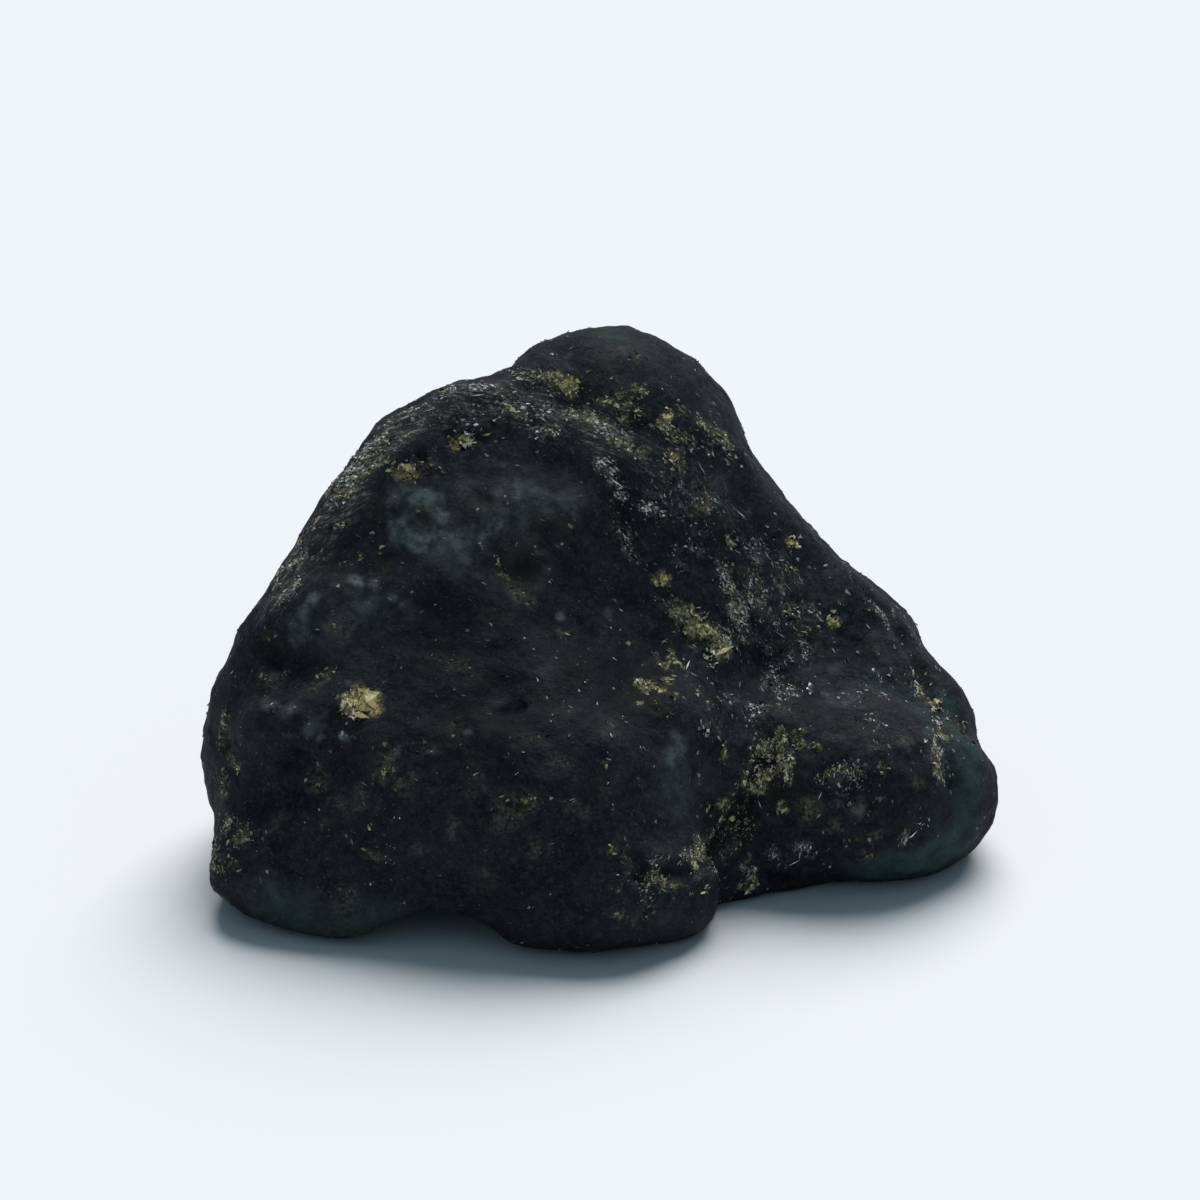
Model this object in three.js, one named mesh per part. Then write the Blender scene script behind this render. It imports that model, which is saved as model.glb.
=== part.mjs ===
// A rough emerald: one waterworn lump of dark beryl, resting on its own feet.
// Units are millimetres. +Z is up, -Y is the stone's front, and the origin lies on the
// resting plane under the middle of the stone.
//
// The solid is one closed skin around an implicit body. The body is two worn blocks (flat
// faces that meet in rounded edges). Rounded lobes are joined to them and hollows are taken
// from them, and low noise gives the skin its lumps. The skin is found by walking outwards
// from a point inside the stone, and the resting plane cuts the feet flat.
import * as THREE from "three";
import { mergeVertices } from "three/addons/utils/BufferGeometryUtils.js";
import { ImprovedNoise } from "three/addons/math/ImprovedNoise.js";

// ---- driving dimensions ----
const HEART = new THREE.Vector3(0.5, 0, 6.5); // the point that the skin first grows from
const SKIN_DETAIL = 19; // cuts along each edge of the icosahedron that the skin starts from
const STRETCH = new THREE.Vector3(1.4, 1.1, 1); // sends more of the skin to the long ends
const LONGEST_REACH = 34; // no part of the stone is further from the heart
const MARCH_STEP = 0.6;
const BISECTIONS = 14;
const RELAX_ROUNDS = 60; // rounds that even out the triangles over the skin
const RELAX_PULL = 0.5; // how far each round draws a point to its neighbours' middle
const FAR_PULL = 1; // power by which further neighbours draw harder
const SETTLE_STEPS = 2; // steps that bring a drawn point back onto the skin
const PROBE = 0.02; // step for the field's slope
const LEAST_SLOPE = 0.1; // a flatter field than this is stepped over as if it were this steep
const FLAT_REACH = 0.02; // skin this near the resting plane lies on it

// The skin's own lumps: their size along the skin, their height, and a shift that keeps the
// two layers apart.
const LUMPS = [
  { size: 7.5, height: 0.5, shift: 3.1 },
  { size: 3, height: 0.3, shift: 17.4 },
];

// The two worn blocks that the stone is made of, each with the wear along its edges. A face
// is an outward normal and one point that it passes through.
const BLOCKS = [
  {
    name: "front mass",
    wear: 2,
    faces: [
      { name: "front", normal: [-0.05, -0.8, 0.6], through: [-5, -7.3, 10.5] },
      { name: "lower front", normal: [-0.05, -0.98, 0.2], through: [-6, -13, 4] },
      { name: "left front", normal: [-0.62, -0.72, 0.3], through: [-14.8, -9, 5.5] },
      { name: "left side", normal: [-0.98, -0.02, -0.1], through: [-19.5, -1, 4.5] },
      { name: "left chamfer", normal: [-0.89, 0.19, 0.41], through: [-18.9, -2, 11.3] },
      { name: "left slope", normal: [-0.83, 0.18, 0.51], through: [-13.3, 4, 19.1] },
      { name: "top", normal: [-0.34, 0.4, 0.85], through: [-5.5, 7, 22.5] },
      { name: "right flank", normal: [0.4, -0.72, 0.57], through: [2.8, -0.75, 11.4] },
      { name: "inner side", normal: [0.95, 0.2, 0.2], through: [4, 2, 14] },
      { name: "back", normal: [-0.2, 0.95, 0.2], through: [-6, 11.5, 8] },
      { name: "back left", normal: [-0.75, 0.6, 0.2], through: [-14.5, 6, 7] },
      { name: "underside", normal: [0, 0.03, -1], through: [-6, -2, 0.4] },
    ],
  },
  {
    name: "right mass",
    wear: 2,
    faces: [
      { name: "right front", normal: [0.2, -0.85, 0.48], through: [7, -6, 0.5] },
      { name: "right slope", normal: [0.78, 0.27, 0.57], through: [12.6, 5, 12.4] },
      { name: "shoulder", normal: [-0.25, 0.25, 0.93], through: [4, 5, 19] },
      { name: "right side", normal: [0.96, 0.1, -0.22], through: [19.6, 1, 4] },
      { name: "right underside", normal: [0.1, -0.8, -0.55], through: [12, -7, 0.6] },
      { name: "inner side", normal: [-1, 0.1, 0.1], through: [-7, 2, 10] },
      { name: "back", normal: [0.25, 0.93, 0.27], through: [8, 11.5, 7] },
      { name: "underside", normal: [0, 0.03, -1], through: [10, -2, 0.3] },
    ],
  },
];
const BLOCKS_BLEND = 3; // how softly the two blocks run into each other

// Rounded lobes joined to the blocks: centre, radii and how softly each one runs into them.
const LOBES = [
  { name: "crown", centre: [1.3, 8.5, 17.1], radii: [5.9, 6, 6.7], blend: 2.5 },
  { name: "crown shoulder", centre: [-2.2, 8, 19.8], radii: [3, 4.4, 3.4], blend: 1.6 },
  { name: "belly", centre: [-5, -3.5, 6.6], radii: [11, 9.6, 5.6], blend: 3 },
  { name: "left shoulder", centre: [-13.8, -2, 7], radii: [5.6, 6, 5], blend: 2 },
  { name: "left foot", centre: [-14.7, -6.9, 2.5], radii: [5.4, 5, 3.1], blend: 1.8 },
  { name: "front foot", centre: [-0.6, -9.3, 3.1], radii: [6, 5.4, 3.8], blend: 2 },
  { name: "foot knob", centre: [3.8, -9.9, 2.1], radii: [2.1, 2.6, 2.8], blend: 0.8 },
  { name: "right end", centre: [13.6, -1.8, 3.5], radii: [6.4, 5.3, 4], blend: 1.5 },
  { name: "back right lobe", centre: [12.1, 5, 6.2], radii: [4.5, 4.6, 5], blend: 1.6 },
  { name: "right cheek", centre: [8.4, -2.9, 3.2], radii: [4, 3.6, 3.6], blend: 2 },
  { name: "rim ledge", centre: [-5.4, 1, 17.3], radii: [4.6, 2, 1.2], blend: 1 },
  { name: "rim corner", centre: [-9.3, 3.6, 19.9], radii: [2.4, 2.6, 1.8], blend: 1 },
  { name: "shoulder knob", centre: [-13.3, -2.1, 13.9], radii: [2.5, 1.8, 2.2], blend: 1 },
  { name: "left ledge", centre: [-14.1, -6.4, 9.3], radii: [3.8, 1.9, 1.5], blend: 1.4 },
  { name: "left bulge", centre: [-11.3, -8.7, 4.7], radii: [4, 3, 3.2], blend: 1.5 },
  { name: "front lump", centre: [-3.2, -5.2, 10.5], radii: [2.2, 2.2, 2], blend: 1 },
  { name: "flank swell", centre: [3.6, -4.6, 6], radii: [2.8, 3, 4.4], blend: 2 },
  { name: "right brow", centre: [11.4, 1.9, 8.3], radii: [3.8, 2.7, 2.2], blend: 1.2 },
  { name: "lower flank", centre: [12.2, -2.8, 5.3], radii: [4.8, 4, 3.4], blend: 3 },
  { name: "right lip", centre: [15.3, 1, 5.2], radii: [3.6, 3, 4.4], blend: 0.8 },
];

// Hollows taken out of the body.
const HOLLOWS = [
  { name: "arch under the front", centre: [-8.5, -11.8, 0], radii: [3, 6, 1.7], blend: 1.2 },
  { name: "left groove", centre: [-20.6, -4, 2.4], radii: [1.6, 5, 0.9], blend: 1.2 },
  { name: "dish", centre: [-2.8, -2.2, 16.6], radii: [3.4, 2, 1.8], blend: 1 },
  { name: "left dish", centre: [-11.5, -2.9, 17.7], radii: [2.6, 1.8, 1.6], blend: 1 },
  { name: "left gutter", centre: [-16.4, -5.8, 12.5], radii: [2.8, 1.8, 1.3], blend: 1 },
  { name: "left hollow", centre: [-15.2, -10.5, 8.3], radii: [3.5, 2.2, 2], blend: 1.6 },
  { name: "front pit", centre: [-4.8, -8.3, 12.1], radii: [1.5, 1.9, 1.4], blend: 0.8 },
  { name: "rim pit", centre: [-6.4, 1.3, 22], radii: [2, 1.7, 1.5], blend: 0.8 },
  { name: "right hollow", centre: [9.6, -6.4, 8.8], radii: [1.6, 1.4, 1.3], blend: 1.2 },
  { name: "front underside", centre: [-4.5, -1.5, -0.6], radii: [9.5, 7.5, 2.2], blend: 1 },
  { name: "right underside", centre: [9, 3, -0.8], radii: [6, 6, 2.2], blend: 1 },
  { name: "crown notch", centre: [8.9, 8, 19.3], radii: [1.8, 7, 1.8], blend: 1 },
  { name: "back dent", centre: [-3, 14.6, 9], radii: [4.5, 2.4, 4], blend: 1.6 },
  { name: "back groove", centre: [7.6, 13.4, 5], radii: [1.8, 2.2, 6], blend: 1.2 },
];

// ---- the implicit body ----
const lumpNoise = new ImprovedNoise();

// Each block's faces as planes that measure the distance outside them.
const blockPlanes = BLOCKS.map(({ wear, faces }) => ({
  wear,
  planes: faces.map(({ normal, through }) =>
    new THREE.Plane().setFromNormalAndCoplanarPoint(
      new THREE.Vector3(...normal).normalize(),
      new THREE.Vector3(...through),
    ),
  ),
}));

function smoothMin(a, b, width) {
  const overlap = Math.max(width - Math.abs(a - b), 0) / width;
  return Math.min(a, b) - (overlap * overlap * width) / 4;
}

function smoothMax(a, b, width) {
  return -smoothMin(-a, -b, width);
}

function blockDistance(point, { wear, planes }) {
  return planes.reduce(
    (field, plane) => smoothMax(field, plane.distanceToPoint(point), wear),
    -LONGEST_REACH,
  );
}

// Signed distance, near enough, to an ellipsoid.
function ellipsoidDistance(point, { centre, radii }) {
  const x = point.x - centre[0];
  const y = point.y - centre[1];
  const z = point.z - centre[2];
  const scaled = Math.hypot(x / radii[0], y / radii[1], z / radii[2]);
  const slope = Math.hypot(x / radii[0] ** 2, y / radii[1] ** 2, z / radii[2] ** 2);
  return slope === 0 ? -Math.min(...radii) : (scaled * (scaled - 1)) / slope;
}

function lumpHeight(point) {
  return LUMPS.reduce((sum, { size, height, shift }) => {
    const noise = lumpNoise.noise(point.x / size + shift, point.y / size + shift, point.z / size);
    return sum + height * noise;
  }, 0);
}

// Below zero inside the stone.
function bodyField(point) {
  const blocks = blockPlanes.map((block) => blockDistance(point, block));
  const joined = LOBES.reduce(
    (field, lobe) => smoothMin(field, ellipsoidDistance(point, lobe), lobe.blend),
    smoothMin(blocks[0], blocks[1], BLOCKS_BLEND),
  );
  const carved = HOLLOWS.reduce(
    (field, hollow) => smoothMax(field, -ellipsoidDistance(point, hollow), hollow.blend),
    joined,
  );
  return carved - lumpHeight(point);
}

// ---- the skin ----
// The stone as it stands: the body with its feet cut flat on the resting plane.
const stoneField = (point) => Math.max(bodyField(point), -point.z);

// Where the skin lies from the heart in one direction.
function skinPoint(direction) {
  const at = (radius) => HEART.clone().addScaledVector(direction, radius);
  let inside = 0;
  while (inside < LONGEST_REACH && stoneField(at(inside + MARCH_STEP)) < 0) inside += MARCH_STEP;
  let outside = inside + MARCH_STEP;
  for (let i = 0; i < BISECTIONS; i += 1) {
    const middle = (inside + outside) / 2;
    if (stoneField(at(middle)) < 0) inside = middle;
    else outside = middle;
  }
  return at(inside);
}

// Moves a point along the field's slope onto the skin.
function settleOnSkin(point) {
  for (let i = 0; i < SETTLE_STEPS; i += 1) {
    const field = stoneField(point);
    const slope = new THREE.Vector3(
      stoneField(point.clone().setX(point.x + PROBE)) - field,
      stoneField(point.clone().setY(point.y + PROBE)) - field,
      stoneField(point.clone().setZ(point.z + PROBE)) - field,
    ).divideScalar(PROBE);
    point.addScaledVector(slope, -field / Math.max(slope.lengthSq(), LEAST_SLOPE));
  }
  return point;
}

// For each vertex, the vertices that share an edge with it.
function neighbourLists(index, count) {
  const lists = Array.from({ length: count }, () => new Set());
  for (let i = 0; i < index.count; i += 3) {
    const corners = [0, 1, 2].map((k) => index.getX(i + k));
    corners.forEach((corner) => corners.forEach((other) => lists[corner].add(other)));
  }
  lists.forEach((list, vertex) => list.delete(vertex));
  return lists.map((list) => [...list]);
}

// Draws each point towards its neighbours' middle and back onto the skin, so that the
// triangles come out alike in size wherever the stone reaches far from its heart.
function relax(points, neighbours) {
  for (let round = 0; round < RELAX_ROUNDS; round += 1) {
    const middles = neighbours.map((list, i) => {
      const weights = list.map((n) => points[i].distanceTo(points[n]) ** FAR_PULL);
      const total = weights.reduce((sum, weight) => sum + weight, 0);
      return list.reduce(
        (sum, n, k) => sum.addScaledVector(points[n], weights[k] / total),
        new THREE.Vector3(),
      );
    });
    points.forEach((point, i) => settleOnSkin(point.lerp(middles[i], RELAX_PULL)));
  }
}

function stoneGeometry() {
  const sphere = new THREE.IcosahedronGeometry(1, SKIN_DETAIL);
  sphere.deleteAttribute("normal");
  sphere.deleteAttribute("uv");
  const skin = mergeVertices(sphere, 1e-5);
  const position = skin.getAttribute("position");
  const points = Array.from({ length: position.count }, (_, i) =>
    skinPoint(new THREE.Vector3().fromBufferAttribute(position, i).multiply(STRETCH).normalize()),
  );
  relax(points, neighbourLists(skin.index, position.count));
  points.forEach(({ x, y, z }, i) => position.setXYZ(i, x, y, z < FLAT_REACH ? 0 : z));
  skin.computeBoundingBox();
  const middle = skin.boundingBox.getCenter(new THREE.Vector3());
  skin.translate(-middle.x, -middle.y, 0);
  skin.computeVertexNormals();
  return skin;
}

// ---- the part ----
const darkBeryl = new THREE.MeshStandardMaterial({
  color: 0x18201f,
  roughness: 0.5,
  metalness: 0,
});

const part = new THREE.Group();
const stone = new THREE.Mesh(stoneGeometry(), darkBeryl);
stone.name = "rough_emerald";
part.add(stone);

export default part;
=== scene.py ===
"""The looks of a rough emerald: its worn skin, its creases filled with mica, and a plain studio.

Lengths are in millimetres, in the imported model's own frame. A place on the front is written
as the camera sees it: how far right of the camera's target it lies, and how far above it.
"""

import math

import bpy
import numpy as np
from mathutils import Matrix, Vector
from mathutils.bvhtree import BVHTree


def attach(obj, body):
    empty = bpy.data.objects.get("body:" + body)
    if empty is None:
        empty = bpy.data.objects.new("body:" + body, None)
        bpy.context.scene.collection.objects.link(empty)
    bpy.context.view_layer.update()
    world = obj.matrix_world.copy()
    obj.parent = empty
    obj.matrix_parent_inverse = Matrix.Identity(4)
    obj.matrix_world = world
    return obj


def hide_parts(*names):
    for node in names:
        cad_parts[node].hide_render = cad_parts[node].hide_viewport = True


MM = 0.001

# ---- camera ----
CAMERA_ELEVATION = 25  # degrees above the floor
CAMERA_DISTANCE = 360
CAMERA_TARGET = (-0.08, -0.92, 13.25)
CAMERA_LENS = 216
CAMERA_SENSOR = 36
CAMERA_CLIP = 10  # nothing nearer than this is seen

# ---- studio ----
FLOOR_HALF = 3000
SKY = {"colour": (0.56, 0.82, 1.0), "strength": 0.23}
OVERHEAD = {"shines": (-70, -260, -390), "power": 3.35, "colour": (1.0, 0.99, 0.98)}
OVERHEAD_SPREAD = 50  # degrees

# ---- noise and meshes ----
NOISE_GAIN = 1.6  # brings the gradients' sum to about -1 to 1
FAR = 99.0  # farther than any distance that is looked for
WELD_REACH = 0.001
ROUNDING_LEVELS = 2
COURSE_STEP = 0.25  # between the places that stand for a course

# The mica lies in sheets that wrap round the front mass, about this line. Noise on the skin is
# drawn out along the sheets' edges: a turn about the line counts as its length at this reach,
# times the pull.
WRAP_CENTRE = np.array([-7.0, -6.0, 8.0])
WRAP_AXIS = np.array([0.0, -0.906, 0.423])
WRAP_UP = np.array([0.0, 0.423, 0.906])
WRAP_REACH = 12.0
STREAK_PULL = 0.4
THREAD_SCALE = 6.5  # the noise's lumps to the millimetre, across the sheets

# The noise that shifts points to fray the patches' edges: lumps, reach, seed.
FRAYS = [(1.8, 1.0, 80), (0.6, 0.45, 90)]

# ---- the skin's relief ----
RELIEF = [(3.2, 0.13, 11), (1.5, 0.08, 12), (0.8, 0.05, 13)]  # lumps, height, seed
GRAIN = {"size": 0.55, "height": 0.14, "seed": 15}
LEDGES = {"size": 2.6, "height": 0.1, "seed": 21}
PITS = {"size": 1.1, "depth": 0.2, "reach": 0.36, "seed": 31}
GROOVES = {"size": 0.5, "height": 0.06, "seed": 75}
HIDDEN_CREASES = {"size": 6.0, "width": 0.12, "depth": 0.3, "seed": 55}
CREASE_WANDER = [(1.7, 0.45, 51), (0.7, 0.25, 52)]  # lumps, reach, seed
SETTLED_BELOW = 1.2  # the relief fades below this height, so that the feet stay flat

# Ragged pits and dishes on the front: right, up, radius, depth.
CRATERS = [
    (-6.7, 8.0, 0.7, 0.3), (-5.7, 8.2, 0.5, 0.22), (-7.6, 8.5, 0.4, 0.2),
    (-6.4, 9.3, 0.4, 0.2), (-9.6, 6.7, 0.6, 0.22), (-8.4, 7.0, 0.5, 0.26),
    (-8.8, 4.1, 0.6, 0.14), (-4.0, 1.6, 1.1, 0.14), (-3.0, 3.8, 0.8, 0.15),
    (-6.0, 5.0, 0.7, 0.15), (-10.8, 2.0, 0.9, 0.12), (-16.5, -2.5, 0.9, 0.1),
    (-4.5, -5.5, 0.9, 0.2), (-4.3, -10.0, 0.8, 0.2), (-10.8, -7.6, 0.6, 0.18),
    (-15.0, -8.0, 1.0, 0.14), (-17.2, -4.6, 0.7, 0.14), (-18.6, -7.2, 0.7, 0.14),
    (6.5, 2.9, 0.8, 0.2), (13.1, -9.0, 0.6, 0.2), (10.6, -12.2, 0.6, 0.2),
    (8.8, -13.9, 0.6, 0.3), (2.0, -13.5, 0.9, 0.2), (5.2, -3.0, 0.5, 0.16),
]

# Creases in the front: width, depth, and the places that each runs through.
CREASES = [
    (0.5, 0.12, [(0.9, 6.0), (1.1, 4.0), (1.8, 2.5), (2.5, 1.2), (3.4, 0.0), (4.6, -2.2)]),
    (0.8, 0.35, [(8.4, -7.7), (8.0, -8.8), (6.7, -11.2), (4.8, -13.3), (1.9, -14.1)]),
    (0.6, 0.25, [(12.8, 1.1), (14.4, -0.6), (15.9, -3.3), (16.5, -4.6), (17.1, -6.2), (17.4, -7.8),
                 (17.6, -9.3)]),
    (0.5, 0.14, [(-13.2, 5.4), (-11.5, 7.0), (-10.0, 8.5), (-8.5, 9.6), (-7.0, 10.0), (-5.5, 10.0),
                 (-4.5, 9.7), (-2.8, 8.8)]),
    (0.8, 0.2, [(-4.0, 11.0), (-1.7, 10.0), (1.9, 8.5), (4.9, 8.0), (6.6, 7.3)]),
    (0.5, 0.16, [(-19.0, -11.2), (-17.8, -11.8), (-16.8, -12.2)]),
    (0.3, 0.1, [(-12.8, 5.8), (-14.0, 4.2), (-15.0, 2.6), (-15.7, 1.0), (-16.2, -0.2)]),
    (0.3, 0.1, [(-12.0, 6.0), (-13.3, 4.2), (-14.1, 2.8), (-14.8, 1.2)]),
    (0.3, 0.1, [(-1.0, 9.6), (0.8, 8.4), (2.0, 7.4), (3.4, 6.2), (5.4, 5.4), (7.4, 4.6)]),
]

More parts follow.
